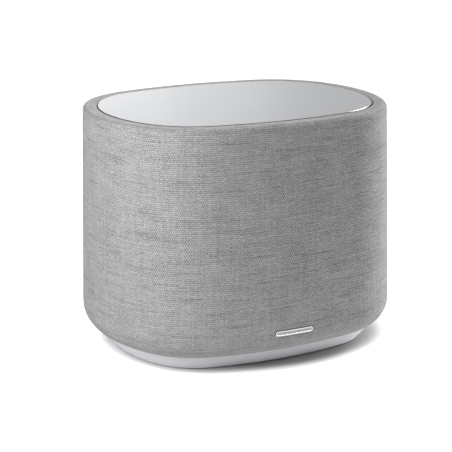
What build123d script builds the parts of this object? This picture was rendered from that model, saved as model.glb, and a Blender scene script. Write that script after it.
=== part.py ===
from build123d import *
import math
import os

# A free-standing wireless bass speaker, wrapped in fabric. Millimetres, +Z up, the front faces -Y.
# The origin is on the floor, under the middle of the body. The driver fires down on to the base.

# ---- the body as a whole -----------------------------------------------------------------------------
body_width = 355.0          # X, over the fabric where it is widest
body_depth = 285.0          # Y, over the fabric where it is deepest
body_height = 272.4         # floor to the face of the top plate
front_radius = 409.5        # long arcs of the outline, front and back
side_radius = 174.5         # arcs of the two ends
corner_radius = 106.5       # arcs that join them
wall_draft = 5.7            # how much further in the wall is at the shoulder than at its widest

# ---- fabric and the frame under it -------------------------------------------------------------------
fabric_thickness = 1.2
fabric_gap = 0.3            # between the fabric and the frame it is drawn over
frame_wall = 2.5
rim_outer_radius = 4.6
rim_inner_radius = 5.5
rim_gap = 0.5               # between the fabric and the top plate's edge
tuck_depth = 8.0            # how far the fabric goes down beside the top plate
hem_z = 18.2                # lower edge of the fabric
lower_rise = 26.5           # height over which the wall rounds in to that edge
lower_radius = 28.4
hem_length = 6.0            # fabric turned in under the frame
slot_width = 8.0            # vents of the frame, hidden by the fabric
slot_height = 18.0
slot_pitch = 17.5
slot_margin = 1.5           # frame left between a vent and the lower lip
joint_clearance = 0.3       # between covers that only meet

# ---- top plate and its tray --------------------------------------------------------------------------
plate_inset = 23.0
plate_thickness = 2.0
plate_stand = 0.2           # plate's face above the crest of the rim
plate_chamfer = 0.3
foam_thickness = 1.7
foam_width = 12.0
foam_edge = 4.0             # foam back from the plate's edge
tray_edge = 1.5             # tray back from the plate's edge
tray_height = 6.0
tray_floor = 3.0
tray_wall = 2.5
ledge_width = 20.0
ledge_thickness = 2.5
tray_screw_count = 6
tray_screw_edge = 8.0       # from the tray's edge to its screws
tray_boss_height = 12.0     # bosses under the cabinet's roof
blind_end = 2.0             # left closed beyond a screw's hole

# ---- base --------------------------------------------------------------------------------------------
base_edge_inset = 32.4      # lower edge of the base ring
base_ring_lift = 1.2        # that edge above the floor
base_ring_bulge = 0.4
base_ring_wall = 2.6
base_ring_foot = 2.6
pan_lift = 1.8
pan_floor = 3.0
pan_rim = 3.0
foot_width = 9.5
foot_bead_width = 2.0
foot_bead_height = 1.2
leg_radius = 8.0
leg_height = 43.2
leg_inset = 52.5
leg_angle = 51.0            # direction of a leg from its corner's centre
diffuser_radius = 62.0
diffuser_height = 21.0
diffuser_tip = 6.0

# ---- cabinet -----------------------------------------------------------------------------------------
cabinet_inset = 10.5
tub_wall = 5.0
baffle_thickness = 10.0
cabinet_seal = 1.5
tub_boss_radius = 5.0
tub_boss_height = 24.0
tub_screw_count = 8
tub_screw_inset = 19.5
port_side_gap = 8.0         # between a port's mouth and the cabinet's end wall
port_radius = 17.0
port_wall = 2.0
port_length = 110.0
port_flare = 3.0
wadding_thickness = 16.0
wadding_gap = 0.3
wadding_from_top = 12.0
wadding_above_floor = 34.0  # lower edge of the front pad above the cabinet's floor board
wadding_above_port = 13.0   # lower edge of the end pads above the ports

# ---- driver ------------------------------------------------------------------------------------------
flange_radius = 104.0
flange_lip_radius = 88.0
flange_thickness = 3.0
driver_seal = 1.0
driver_screw_count = 8
driver_screw_circle = 99.0
basket_wall = 2.3
basket_cone_height = 35.0
ledge_radius = 60.0
basket_neck_radius = 66.0
basket_neck_height = 22.0
basket_floor = 2.0
basket_arm_count = 6
basket_window_width = 62.0
neck_window_width = 42.0
neck_window_height = 14.0
arm_angle = 50.0            # direction of the arm that carries the terminals
terminal_radius = 84.0      # back of the terminal board, from the driver's axis
terminal_z = 69.0
terminal_width = 30.0
terminal_height = 12.0
terminal_thickness = 2.0
tab_length = 7.0
tab_width = 5.0
tab_spacing = 14.0
bracket_width = 9.0
cone_radius = 70.0
cone_lip = 6.0
cone_thickness = 1.2
cone_depth = 32.0
surround_thickness = 1.2
surround_roll = 5.7         # inner radius of the half roll
surround_flat = 6.5
dust_cap_radius = 34.0
dust_cap_rise = 10.0
dust_cap_thickness = 0.8
former_radius = 25.9
former_wall = 0.6
former_past_coil = 2.0
coil_thickness = 1.6
coil_gap = 0.8              # air between the winding and the front plate's hole
pole_gap = 0.5              # air between the pole and the former
spider_wave = 1.4
spider_thickness = 0.8
front_plate_thickness = 8.0
front_plate_radius = 60.0
coil_back_clearance = 4.0   # left behind the former when the cone is fully up
magnet_radius = 68.0
magnet_bore = 33.0
back_plate_thickness = 8.0
vent_radius = 8.0
cone_travel = 8.0           # each way

# ---- connections on the back -------------------------------------------------------------------------
panel_z = 104.0
panel_width = 132.0
panel_height = 66.0
panel_corner = 12.0
panel_thickness = 3.0
panel_recess = 10.0         # panel's face behind the deepest part of the body
bezel_wall = 4.0
bezel_lap = 3.5             # bezel over the fabric all round
bezel_proud = 0.8
bezel_lap_gap = 0.1         # between the lap and the fabric
pad_depth = 12.0
pad_land = 14.0             # the pad's face left beside its opening
pad_rail = 8.0              # and above and below it
panel_screw_edge = 9.0
panel_screw_drop = 13.0
inlet_from_edge = 32.0
inlet_width = 15.4
inlet_height = 8.8
inlet_depth = 15.0
inlet_wall = 1.8
inlet_flange = 3.5
inlet_flange_thickness = 1.5
pin_radius = 1.2
pin_spacing = 8.6
pin_recess = 3.0            # pin ends behind the inlet's mouth
pin_tail = 8.0
button_from_inlet = 40.0
button_radius = 4.5
button_proud = 1.6
button_collar = 1.2
button_collar_thickness = 1.5
button_travel = 1.0
button_clearance = 0.15
button_stop = 0.4           # play between the collar and the panel
plunger_radius = 1.7
plunger_height = 2.3
switch_size = 6.2
switch_floor = 0.6
light_radius = 1.8
light_proud = 0.4
light_flange = 1.0
light_flange_thickness = 1.2
light_stop = 2.0            # guide's end to the control board
service_from_edge = 28.0
service_width = 9.0
service_height = 3.2
service_wall = 0.5
board_thickness = 1.6
control_side_gap = 2.0      # control board to the side of the panel's opening
control_from_inlet = 24.0
control_height = 24.0
control_setback = 6.9       # control board behind the panel
control_post_radius = 2.5
control_post_edge = 4.0

# ---- electronics inside ------------------------------------------------------------------------------
amp_width = 168.0
amp_height = 92.0
amp_setback = 26.5          # amplifier board behind the panel
amp_rise = 16.0             # middle of the board above the middle of the panel
amp_boss_radius = 4.5
amp_boss_edge = 8.0
sink_width = 50.0
sink_height = 38.0
sink_depth = 24.0
sink_base = 4.0
sink_fins = 9
sink_fin = 1.6
sink_x = -45.0
core_width = 42.0
core_height = 34.0
core_depth = 25.0
core_window = 0.66          # share of the core that is open round its middle limb
core_cheek = 0.12           # share of the core's depth that joins its limbs
limb_radius = 6.5
winding_radius = 13.0
core_x = 30.0
upper_row = 26.0            # heat sink and transformer above the middle of the board
capacitor_radius = 9.0
capacitor_length = 28.0
capacitor_x = 70.0
capacitor_pitch = 22.0
module_width = 36.0
module_height = 26.0
module_standoff = 5.0
module_x = -60.0
module_drop = 26.0
shield_height = 2.6
shield_edge = 4.0
antenna_length = 60.0
antenna_width = 14.0
antenna_thickness = 1.0
antenna_x = -90.0
antenna_y = 60.0
antenna_gap = 0.3
lead_radius = 2.0
coax_radius = 0.8
coax_run = 14.0             # straight length of the antenna's lead off its module
wire_radius = 1.0
mains_rise = 24.0           # from the inlet's pins up to where their wires meet the board
tinsel_radius = 0.7

# ---- screws ------------------------------------------------------------------------------------------
big_shank = 2.0
big_head = 4.0
big_head_height = 2.6
small_shank = 1.5
small_head = 2.8
small_head_height = 1.8
screw_clearance = 0.2
pilot_clearance = 0.05

# ---- badge -------------------------------------------------------------------------------------------
badge_z = 42.7
badge_length = 46.5
badge_height = 6.2
badge_proud = 0.8
badge_pin_radius = 1.0
badge_pin_spacing = 32.0
badge_clip_radius = 3.0
badge_clip_thickness = 0.8
badge_pin_past_clip = 1.2
badge_patch = 6.0           # frame left whole beside the badge

# ---- heights and insets that follow ------------------------------------------------------------------
crest_z = body_height - plate_stand
widest_z = hem_z + lower_rise
frame_outer = fabric_thickness + fabric_gap
frame_inner = frame_outer + frame_wall
tuck_inset = plate_inset - rim_gap
plate_bottom = body_height - plate_thickness
tray_top = plate_bottom - foam_thickness
tray_bottom = tray_top - tray_height
tub_top = tray_bottom - ledge_thickness
pan_top = pan_lift + pan_floor
baffle_bottom = pan_top + leg_height
baffle_top = baffle_bottom + baffle_thickness
tub_bottom = baffle_top + cabinet_seal
tub_inner = cabinet_inset + tub_wall
port_mouth_radius = port_radius + port_wall + port_flare
port_x = body_width / 2 - tub_inner - port_mouth_radius - port_side_gap
flange_top = baffle_bottom - driver_seal
flange_bottom = flange_top - flange_thickness
cone_base = flange_bottom + joint_clearance
spider_z = flange_top + basket_cone_height + basket_floor
neck_top = spider_z + basket_neck_height
front_plate_z = neck_top + basket_floor
coil_height = front_plate_thickness + 2 * cone_travel
magnet_thickness = 2 * cone_travel + former_past_coil + coil_back_clearance
magnet_z = front_plate_z + front_plate_thickness
back_plate_z = magnet_z + magnet_thickness
panel_front = body_depth / 2 - panel_recess
panel_back = panel_front - panel_thickness
panel_screw_x = panel_width / 2 - panel_screw_edge
panel_screw_z = panel_height / 2 - panel_screw_drop
inlet_x = panel_width / 2 - inlet_from_edge
service_x = service_from_edge - panel_width / 2
button_x = inlet_x - button_from_inlet
light_x = (button_x + service_x) / 2
control_left = pad_land + control_side_gap - panel_width / 2
control_right = inlet_x - control_from_inlet
control_width = control_right - control_left
control_x = (control_left + control_right) / 2
control_post_x = control_width / 2 - control_post_edge
control_face = panel_back - control_setback
amp_face = panel_back - amp_setback
amp_front = amp_face - board_thickness
amp_z = panel_z + amp_rise
frame_lip_turn = math.degrees(math.asin(lower_rise / lower_radius))


# ---- the outline that every ring and plate of the body follows ---------------------------------------
def corner_centre():
    """Middle of the corner arc that is tangent to the back arc and to the end arc."""
    side_x = body_width / 2 - side_radius
    back_y = body_depth / 2 - front_radius
    to_back = front_radius - corner_radius
    to_side = side_radius - corner_radius
    span = math.hypot(side_x, back_y)
    along = (to_back**2 - to_side**2 + span**2) / (2 * span)
    across = math.sqrt(to_back**2 - along**2)
    ux, uy = side_x / span, -back_y / span
    return ux * along + uy * across, back_y + uy * along - ux * across


def outline_arcs():
    """The eight arcs, counter-clockwise from the right end: centre, radius, start and end angle."""
    cx, cy = corner_centre()
    side_x = body_width / 2 - side_radius
    back_y = body_depth / 2 - front_radius
    side_turn = math.degrees(math.atan2(cy, cx - side_x))
    back_turn = math.degrees(math.atan2(cy - back_y, cx))
    return [
        ((side_x, 0), side_radius, -side_turn, side_turn),
        ((cx, cy), corner_radius, side_turn, back_turn),
        ((0, back_y), front_radius, back_turn, 180 - back_turn),
        ((-cx, cy), corner_radius, 180 - back_turn, 180 - side_turn),
        ((-side_x, 0), side_radius, 180 - side_turn, 180 + side_turn),
        ((-cx, -cy), corner_radius, 180 + side_turn, 180 + back_turn),
        ((0, -back_y), front_radius, 180 + back_turn, 360 - back_turn),
        ((cx, -cy), corner_radius, 360 - back_turn, 360 - side_turn),
    ]


ARC_NAMES = [
    "right end", "back right", "back", "back left", "left end", "front left", "front", "front right",
]


def outline_edges(inset):
    return [
        CenterArc((*centre, 0), radius - inset, start, stop - start)
        for centre, radius, start, stop in outline_arcs()
    ]


def slab(inset, bottom, top):
    """A plate of the body's outline, drawn in by inset."""
    return extrude(Pos(0, 0, bottom) * make_face(outline_edges(inset)), top - bottom)


def hoop(outer, inner, bottom, top):
    """What lies between two insets of the outline."""
    return slab(outer, bottom, top) - slab(inner, bottom, top)


def band(profile, wanted=ARC_NAMES):
    """A flat profile, drawn as (-inset, height), carried round the outline."""
    turned_parts = []
    for name, (centre, radius, start, stop) in zip(ARC_NAMES, outline_arcs()):
        if name not in wanted:
            continue
        section = Pos(*centre, 0) * Rot(0, 0, start) * Pos(radius, 0, 0) * (Plane.XZ * profile)
        turned_parts.append(revolve(section, Axis((*centre, 0), (0, 0, 1)), stop - start))
    return Part() + turned_parts


def strip(outer, inner, bottom, top):
    """A rectangular profile for band: from inset outer to inset inner."""
    return Pos(-(outer + inner) / 2, (bottom + top) / 2) * Rectangle(inner - outer, top - bottom)


def around(count, inset):
    """Evenly spaced places on the outline: point and direction of travel."""
    path = Wire(outline_edges(inset))
    places = []
    for index in range(count):
        share = (index + 0.5) / count
        point = path.position_at(share)
        along = path.tangent_at(share)
        places.append((point.X, point.Y, math.degrees(math.atan2(along.Y, along.X))))
    return places


# ---- small shapes ------------------------------------------------------------------------------------
FROM_BOTTOM = (Align.CENTER, Align.CENTER, Align.MIN)


def rod(radius, bottom, top, x=0.0, y=0.0):
    return Pos(x, y, bottom) * Cylinder(radius, top - bottom, align=FROM_BOTTOM)


def rod_back(radius, x, z, front, back):
    """A rod along Y, from y = front to y = back."""
    return Pos(x, front, z) * Rot(-90, 0, 0) * Cylinder(radius, back - front, align=FROM_BOTTOM)


def washer(outer, inner, bottom, top):
    return rod(outer, bottom, top) - rod(inner, bottom, top)


def turned(*points):
    """A solid turned about the driver's axis from a closed profile of (radius, height) points."""
    return revolve(Plane.XZ * make_face(Polyline(*points, close=True)), Axis.Z)


def behind(sketch, front, back):
    """A sketch on the XZ plane, made solid from y = front to y = back."""
    return extrude(Plane.XZ.offset(-back) * sketch, back - front)


def block(x, y, z, width, depth, height):
    """A box by the middle of its footprint and its middle height."""
    return Pos(x, y, z) * Box(width, depth, height)


def screw(shank, length, head, head_height):
    """A screw that points up: the underside of its head is at zero."""
    body = rod(head, -head_height, 0) + rod(shank, 0, length)
    recess = extrude(Pos(0, 0, -head_height) * RegularPolygon(head * 0.5, 6), head_height * 0.6)
    return body - recess


def big_screw(length):
    return screw(big_shank, length, big_head, big_head_height)


def small_screw(length):
    return screw(small_shank, length, small_head, small_head_height)


def lead(points, radius, bends):
    """A round lead along straight runs joined by arcs."""
    path = FilletPolyline(*points, radius=bends)
    start = Plane(path @ 0, z_dir=path % 0)
    return sweep(start * Circle(radius), path=path)


def group(solids):
    """Separate solids kept together in one node."""
    return Compound(children=[solid.solids()[0] for solid in solids])


# ---- covers ------------------------------------------------------------------------------------------
def skin(outer, inner, tuck_z, hem_inset):
    """Profile of a skin between two depths under the fabric's face, from the plate's edge to the hem."""

    def path(depth):
        bend = math.radians(frame_lip_turn)
        lower_x = lower_radius - (lower_radius - depth) * math.cos(bend)
        lower_z = widest_z - (lower_radius - depth) * math.sin(bend)
        rim_in = CenterArc((-(tuck_inset - rim_inner_radius), crest_z - rim_inner_radius),
                           rim_inner_radius - depth, 90, 90)
        rim_out = CenterArc((-(wall_draft + rim_outer_radius), crest_z - rim_outer_radius),
                            rim_outer_radius - depth, 0, 90)
        low = CenterArc((-lower_radius, widest_z), lower_radius - depth, -frame_lip_turn, frame_lip_turn)
        return [
            Line((-(tuck_inset - depth), tuck_z), rim_in @ 1),
            rim_in,
            Line(rim_in @ 0, rim_out @ 1),
            rim_out,
            Line(rim_out @ 0, low @ 1),
            low,
            Line((-lower_x, lower_z), (-hem_inset, lower_z)),
        ]

    face_side = path(outer)
    under_side = path(inner)
    ends = [
        Line(face_side[0] @ 0, under_side[0] @ 0),
        Line(face_side[-1] @ 1, under_side[-1] @ 1),
    ]
    return make_face(face_side + under_side + ends)


def lip_height(depth):
    """Height of the turned-in lower lip of a skin at this depth."""
    return widest_z - (lower_radius - depth) * math.sin(math.radians(frame_lip_turn))


def hem_start():
    return lower_radius - lower_radius * math.cos(math.radians(frame_lip_turn))


def rounded_in(z, depth):
    """How far the lower curve of a skin, at this depth, has rounded in at this height."""
    radius = lower_radius - depth
    return radius - math.sqrt(radius**2 - max(widest_z - z, 0)**2)


def back_cutout():
    """The space that the rear connections take out of the fabric and the frame."""
    clear = 2 * joint_clearance
    shape = RectangleRounded(panel_width + clear, panel_height + clear, panel_corner + joint_clearance)
    return behind(Pos(0, panel_z) * shape, 0, body_depth)


def badge_pin_places():
    return [-badge_pin_spacing / 2, badge_pin_spacing / 2]


def badge_pin_holes(clearance):
    return [
        rod_back(badge_pin_radius + clearance, x, badge_z, -body_depth, 0)
        for x in badge_pin_places()
    ]


def fabric_sleeve():
    hem_end = hem_start() + hem_length
    sleeve = band(skin(0, fabric_thickness, crest_z - tuck_depth, hem_end)) - back_cutout()
    for hole in badge_pin_holes(joint_clearance):
        sleeve -= hole
    return sleeve


def grille_frame():
    lip_end = base_edge_inset + base_ring_foot + pan_rim / 2
    profile = skin(frame_outer, frame_inner, tub_top, lip_end)
    profile += strip(tuck_inset - frame_inner, tuck_inset - frame_inner + ledge_width, tub_top, tray_bottom)
    frame = band(profile) - back_cutout()
    for hole in badge_pin_holes(joint_clearance):
        frame -= hole
    slots = []
    outline_length = Wire(outline_edges(0)).length
    slot_bottom = lip_height(frame_inner) + slot_margin
    for x, y, turn in around(round(outline_length / slot_pitch), 0):
        if y < 0 and abs(x) < badge_length / 2 + badge_patch:
            continue
        cutter = Box(slot_width, 4 * (frame_inner + hem_start()), slot_height, align=FROM_BOTTOM)
        slots.append(Pos(x, y, slot_bottom) * Rot(0, 0, turn) * cutter)
    screw_holes = [
        rod(big_shank + screw_clearance, tub_top, tray_bottom, x, y)
        for x, y, _ in tray_screw_places()
    ]
    return frame - (slots + screw_holes)


def badge():
    """A bare plate with rounded ends that follows the front, on two pins."""
    wall = slab(-badge_proud, 0, widest_z + badge_height) - slab(0, 0, widest_z + badge_height)
    plate = behind(Pos(0, badge_z) * SlotOverall(badge_length, badge_height), -body_depth, 0) & wall
    for x in badge_pin_places():
        plate += rod_back(badge_pin_radius, x, badge_z, front_at(x, 0) - badge_proud / 2,
                          badge_clip_back(x) + badge_pin_past_clip)
    return plate


def front_at(x, inset):
    """Y of the front of the outline at this x."""
    return front_radius - body_depth / 2 - math.sqrt((front_radius - inset)**2 - x**2)


def badge_clip_back(x):
    clip_side = abs(x) - badge_clip_radius
    frame_back = frame_inner + rounded_in(badge_z - badge_clip_radius, frame_inner)
    return front_at(clip_side, frame_back) + joint_clearance + badge_clip_thickness


def badge_clips():
    clips = []
    for x in badge_pin_places():
        back = badge_clip_back(x)
        disc = rod_back(badge_clip_radius, x, badge_z, back - badge_clip_thickness, back)
        clips.append(disc - rod_back(badge_pin_radius, x, badge_z, 0 - body_depth, 0))
    return group(clips)


# ---- top ---------------------------------------------------------------------------------------------
def top_plate():
    plate = slab(plate_inset, plate_bottom, body_height)
    upper = plate.faces().sort_by(Axis.Z)[-1].edges()
    return chamfer(upper, plate_chamfer)


def plate_foam():
    outer = plate_inset + foam_edge
    return hoop(outer, outer + foam_width, tray_top, plate_bottom)


def tray_screw_places():
    return around(tray_screw_count, plate_inset + tray_edge + tray_screw_edge)


def top_tray():
    edge = plate_inset + tray_edge
    tray = slab(edge, tray_top - tray_floor, tray_top)
    tray += hoop(edge, edge + tray_wall, tray_bottom, tray_top - tray_floor)
    places = [(x, y) for x, y, _ in tray_screw_places()]
    tray += [rod(big_head + tray_wall, tray_bottom, tray_top, x, y) for x, y in places]
    head_top = tray_top - big_head_height
    tray -= [rod(big_head + screw_clearance, head_top, tray_top, x, y) for x, y in places]
    return tray - [rod(big_shank + screw_clearance, tray_bottom, tray_top, x, y) for x, y in places]


def tray_screw_length():
    return tray_height - big_head_height + ledge_thickness + tray_boss_height - 2 * blind_end


def tray_screws():
    return group([
        Pos(x, y, tray_top - big_head_height) * Rot(180, 0, 0) * big_screw(tray_screw_length())
        for x, y, _ in tray_screw_places()
    ])


# ---- base --------------------------------------------------------------------------------------------
def base_ring():
    top = hem_z - joint_clearance
    start = Vector(-(hem_start() + joint_clearance), top)
    end = Vector(-base_edge_inset, base_ring_lift)
    chord = end - start
    outward = Vector(-chord.Y, chord.X).normalized()
    middle = (start + end) * 0.5 + outward * base_ring_bulge
    face = ThreePointArc(start, middle, end)
    radius = face.radius
    centre = face.arc_center
    to_start = (start - centre).normalized() * (radius - base_ring_wall)
    to_middle = (middle - centre).normalized() * (radius - base_ring_wall)
    to_end = (end - centre).normalized() * (radius - base_ring_wall)
    back = ThreePointArc(centre + to_start, centre + to_middle, centre + to_end)
    shell = make_face([face, back, Line(start, back @ 0), Line(end, back @ 1)])
    flange_end = base_edge_inset + base_ring_foot + pan_rim
    shell &= strip(0, flange_end, base_ring_lift, top)
    flange = strip(hem_start() + joint_clearance + base_ring_wall, flange_end, top - base_ring_wall, top)
    step = strip(hem_start() + hem_length + joint_clearance, flange_end, top, lip_height(frame_outer))
    foot = strip(base_edge_inset, base_edge_inset + base_ring_foot, base_ring_lift,
                 base_ring_lift + base_ring_wall)
    return band(shell + flange + step + foot)


def leg_places():
    cx, cy = corner_centre()
    reach = corner_radius - leg_inset
    x = cx + reach * math.cos(math.radians(leg_angle))
    y = cy + reach * math.sin(math.radians(leg_angle))
    return [(x, y), (-x, y), (-x, -y), (x, -y)]


def diffuser():
    """A shallow horn on the base, under the driver, that turns the sound outwards."""
    foot = (diffuser_radius, pan_top)
    tip = (diffuser_tip, pan_top + diffuser_height)
    flank = ThreePointArc(foot, (diffuser_radius * 0.42, pan_top + diffuser_height * 0.3), tip)
    lines = Polyline(tip, (0, pan_top + diffuser_height), (0, pan_top), foot)
    return revolve(Plane.XZ * make_face([flank] + lines.edges()), Axis.Z)


def foot_inset():
    return base_edge_inset + base_ring_foot + joint_clearance


def bead(clearance, height):
    middle = foot_inset() + foot_width / 2
    half = foot_bead_width / 2 + clearance
    return hoop(middle - half, middle + half, pan_lift, pan_lift + height + clearance)


def base_pan():
    edge = base_edge_inset + base_ring_foot + joint_clearance * 2
    rim_top = hem_z - joint_clearance - base_ring_wall
    pan = slab(edge, pan_lift, pan_top) + hoop(edge, edge + pan_rim, pan_top, rim_top)
    pan += diffuser()
    seat = pan_lift + 2 * big_head_height
    pan += [rod(leg_radius, pan_lift, baffle_bottom, x, y) for x, y in leg_places()]
    pan -= bead(pilot_clearance, foot_bead_height)
    pan -= [rod(big_head + screw_clearance, pan_lift, seat, x, y) for x, y in leg_places()]
    return pan - [rod(big_shank + screw_clearance, pan_lift, baffle_bottom, x, y) for x, y in leg_places()]


def base_screws():
    length = baffle_top - blind_end - pan_lift - 2 * big_head_height
    return group([Pos(x, y, pan_lift + 2 * big_head_height) * big_screw(length) for x, y in leg_places()])


def foot_ring():
    ring = hoop(foot_inset(), foot_inset() + foot_width, 0, pan_lift)
    return ring + bead(0, foot_bead_height)


# ---- cabinet -----------------------------------------------------------------------------------------
def tub_screw_places():
    return [(x, y) for x, y, _ in around(tub_screw_count, tub_screw_inset)]


def driver_screw_places():
    step = 360 / driver_screw_count
    return [
        (driver_screw_circle * math.cos(math.radians((index + 0.5) * step)),
         driver_screw_circle * math.sin(math.radians((index + 0.5) * step)))
        for index in range(driver_screw_count)
    ]


def baffle_hole_radius():
    return flange_lip_radius + basket_wall + joint_clearance * 6


def cabinet_floor():
    """The board that closes the cabinet below and carries the driver and the ports."""
    board = slab(cabinet_inset, baffle_bottom, baffle_top)
    board -= rod(baffle_hole_radius(), baffle_bottom, baffle_top)
    for side in (-1, 1):
        board -= rod(port_mouth_radius, baffle_bottom, baffle_top, side * port_x)
    for x, y in tub_screw_places():
        board -= rod(big_shank + screw_clearance, baffle_bottom, baffle_top, x, y)
    for x, y in driver_screw_places():
        board -= rod(small_shank + pilot_clearance, baffle_bottom, baffle_top, x, y)
    for x, y in leg_places():
        board -= rod(big_shank + pilot_clearance, baffle_bottom, baffle_top, x, y)
    return board


def cabinet_gasket():
    return hoop(cabinet_inset, tub_inner, baffle_top, tub_bottom)


def panel_sketch(width, height, corner):
    return Pos(0, panel_z) * RectangleRounded(width, height, corner)


def amp_boss_places():
    x = amp_width / 2 - amp_boss_edge
    z = amp_height / 2 - amp_boss_edge
    return [(side_x * x, amp_z + side_z * z) for side_x in (-1, 1) for side_z in (-1, 1)]


def cabinet_tub():
    tub = hoop(cabinet_inset, tub_inner, tub_bottom, tub_top)
    tub += slab(cabinet_inset, tub_top - tub_wall, tub_top)
    tub += behind(panel_sketch(panel_width, panel_height, panel_corner), panel_back - pad_depth, panel_back)
    wall = slab(tub_wall + cabinet_inset - tub_wall / 2, tub_bottom, tub_top)
    for x, z in amp_boss_places():
        tub += rod_back(amp_boss_radius, x, z, amp_face, body_depth) & wall
    clear = 2 * joint_clearance
    recess = panel_sketch(panel_width + clear, panel_height + clear, panel_corner + joint_clearance)
    tub -= behind(recess, panel_back, body_depth)
    opening = panel_sketch(panel_width - 2 * pad_land, panel_height - 2 * pad_rail, panel_corner / 2)
    tub -= behind(opening, amp_face, body_depth)
    for x, z in amp_boss_places():
        tub -= rod_back(small_shank + pilot_clearance, x, z, amp_face - 1, amp_face + pad_depth)
    for x, z in panel_screw_places():
        tub -= rod_back(small_shank + pilot_clearance, x, z, panel_back - pad_depth, panel_back)
    for x, y in tub_screw_places():
        tub += rod(tub_boss_radius, tub_bottom, tub_bottom + tub_boss_height, x, y)
    for x, y in tub_screw_places():
        tub -= rod(big_shank + pilot_clearance, tub_bottom, tub_bottom + tub_boss_height - blind_end, x, y)
    for x, y, _ in tray_screw_places():
        tub += rod(tub_boss_radius, tub_top - tray_boss_height, tub_top, x, y)
        tub -= rod(big_shank + pilot_clearance, tub_top - tray_boss_height + blind_end, tub_top, x, y)
    return tub


def cabinet_screws():
    length = baffle_thickness + cabinet_seal + tub_boss_height * 0.7
    return group([Pos(x, y, baffle_bottom) * big_screw(length) for x, y in tub_screw_places()])


def port_tube(side):
    """A tube with a flared mouth at each end; the lower one fills its hole in the floor board."""
    top = baffle_bottom + port_length
    flare = port_flare + port_wall
    sections = [
        Line((port_radius + flare, baffle_bottom), (port_radius + flare, baffle_top)),
        Line((port_radius + flare, baffle_top), (port_radius + port_wall, baffle_top)),
        Line((port_radius + port_wall, baffle_top), (port_radius + port_wall, top - flare)),
        ThreePointArc((port_radius + port_wall, top - flare),
                      (port_radius + port_wall + port_flare * 0.3, top - flare * 0.3),
                      (port_radius + flare, top)),
        Line((port_radius + flare, top), (port_radius + port_flare, top)),
        ThreePointArc((port_radius + port_flare, top), (port_radius + port_flare * 0.3, top - flare * 0.7),
                      (port_radius, top - 2 * flare)),
        Line((port_radius, top - 2 * flare), (port_radius, baffle_bottom + 2 * flare)),
        ThreePointArc((port_radius, baffle_bottom + 2 * flare),
                      (port_radius + port_flare * 0.3, baffle_bottom + flare * 0.7),
                      (port_radius + port_flare, baffle_bottom)),
        Line((port_radius + port_flare, baffle_bottom), (port_radius + flare, baffle_bottom)),
    ]
    return Pos(side * port_x, 0, 0) * revolve(Plane.XZ * make_face(sections), Axis.Z)


def damping_wadding():
    """Felt pads on the front wall and, above the ports, on the two ends."""
    outer = tub_inner + wadding_gap
    inner = outer + wadding_thickness
    top = tub_top - tub_wall - wadding_from_top
    front = strip(outer, inner, baffle_top + wadding_above_floor, top)
    side = strip(outer, inner, baffle_bottom + port_length + wadding_above_port, top)
    return group([band(front, ["front"]), band(side, ["right end"]), band(side, ["left end"])])


# ---- driver ------------------------------------------------------------------------------------------
def driver_gasket():
    seal = washer(flange_radius, baffle_hole_radius(), flange_top, baffle_bottom)
    for x, y in driver_screw_places():
        seal -= rod(small_shank + screw_clearance, flange_top, baffle_bottom, x, y)
    return seal


def basket_windows(width, bottom, top):
    step = 360 / basket_arm_count
    height = top - bottom
    return [
        Rot(0, 0, arm_angle + (index + 0.5) * step)
        * Pos((ledge_radius + flange_radius) / 2, 0, bottom + height / 2)
        * Box(flange_radius - ledge_radius, width, height)
        for index in range(basket_arm_count)
    ]


def driver_basket():
    wall_top = spider_z - basket_floor
    neck_inner = basket_neck_radius - basket_wall
    basket = washer(flange_radius, flange_lip_radius, flange_bottom, flange_top)
    basket += turned((flange_lip_radius, flange_top), (flange_lip_radius + basket_wall, flange_top),
                     (basket_neck_radius + basket_wall, wall_top), (basket_neck_radius, wall_top))
    basket += washer(basket_neck_radius + basket_wall, ledge_radius, wall_top, spider_z)
    basket += washer(basket_neck_radius, neck_inner, spider_z, neck_top)
    basket += washer(basket_neck_radius, front_plate_bore(), neck_top, front_plate_z)
    for window in basket_windows(basket_window_width, flange_top + basket_wall, wall_top - basket_floor):
        basket -= window
    neck_middle = (spider_z + neck_top) / 2
    for window in basket_windows(neck_window_width, neck_middle - neck_window_height / 2,
                                 neck_middle + neck_window_height / 2):
        basket -= window
    basket += terminal_bracket()
    for x, y in driver_screw_places():
        basket -= rod(small_shank + screw_clearance, flange_bottom, flange_top, x, y)
    return basket


def on_arm(shape):
    return Rot(0, 0, arm_angle) * shape


def basket_wall_radius(z):
    """Inner radius of the sloping part of the basket at this height."""
    slope = (flange_lip_radius - basket_neck_radius) / (spider_z - basket_floor - flange_top)
    return flange_lip_radius - slope * (z - flange_top)


def terminal_bracket():
    inner = basket_wall_radius(terminal_z) + basket_wall / 2
    depth = terminal_radius - inner
    return on_arm(block(inner + depth / 2, 0, terminal_z, depth, bracket_width, terminal_height * 0.6))


def driver_terminals():
    plate = block(terminal_radius + terminal_thickness / 2, 0, terminal_z,
                  terminal_thickness, terminal_width, terminal_height)
    for side in (-1, 1):
        plate += block(terminal_radius + terminal_thickness + tab_length / 2, side * tab_spacing / 2,
                       terminal_z, tab_length, tab_width, terminal_thickness / 2)
    return on_arm(plate)


def tinsel_leads():
    """Two light leads from the terminals to the back of the cone."""
    end_radius = cone_radius * 0.7
    end_z = cone_back(end_radius) + tinsel_radius + joint_clearance * 2
    side_y = terminal_width / 2 - 3 * tinsel_radius
    leads = []
    for side in (-1, 1):
        y = side * side_y
        points = [
            (terminal_radius, y, terminal_z),
            (terminal_radius - 9, y, terminal_z),
            (end_radius + 11, y, end_z + 5),
            (end_radius, y, end_z),
        ]
        leads.append(on_arm(lead(points, tinsel_radius, [8.0, 8.0])))
    return group(leads)


def front_plate_bore():
    return former_radius + coil_thickness + coil_gap


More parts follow.
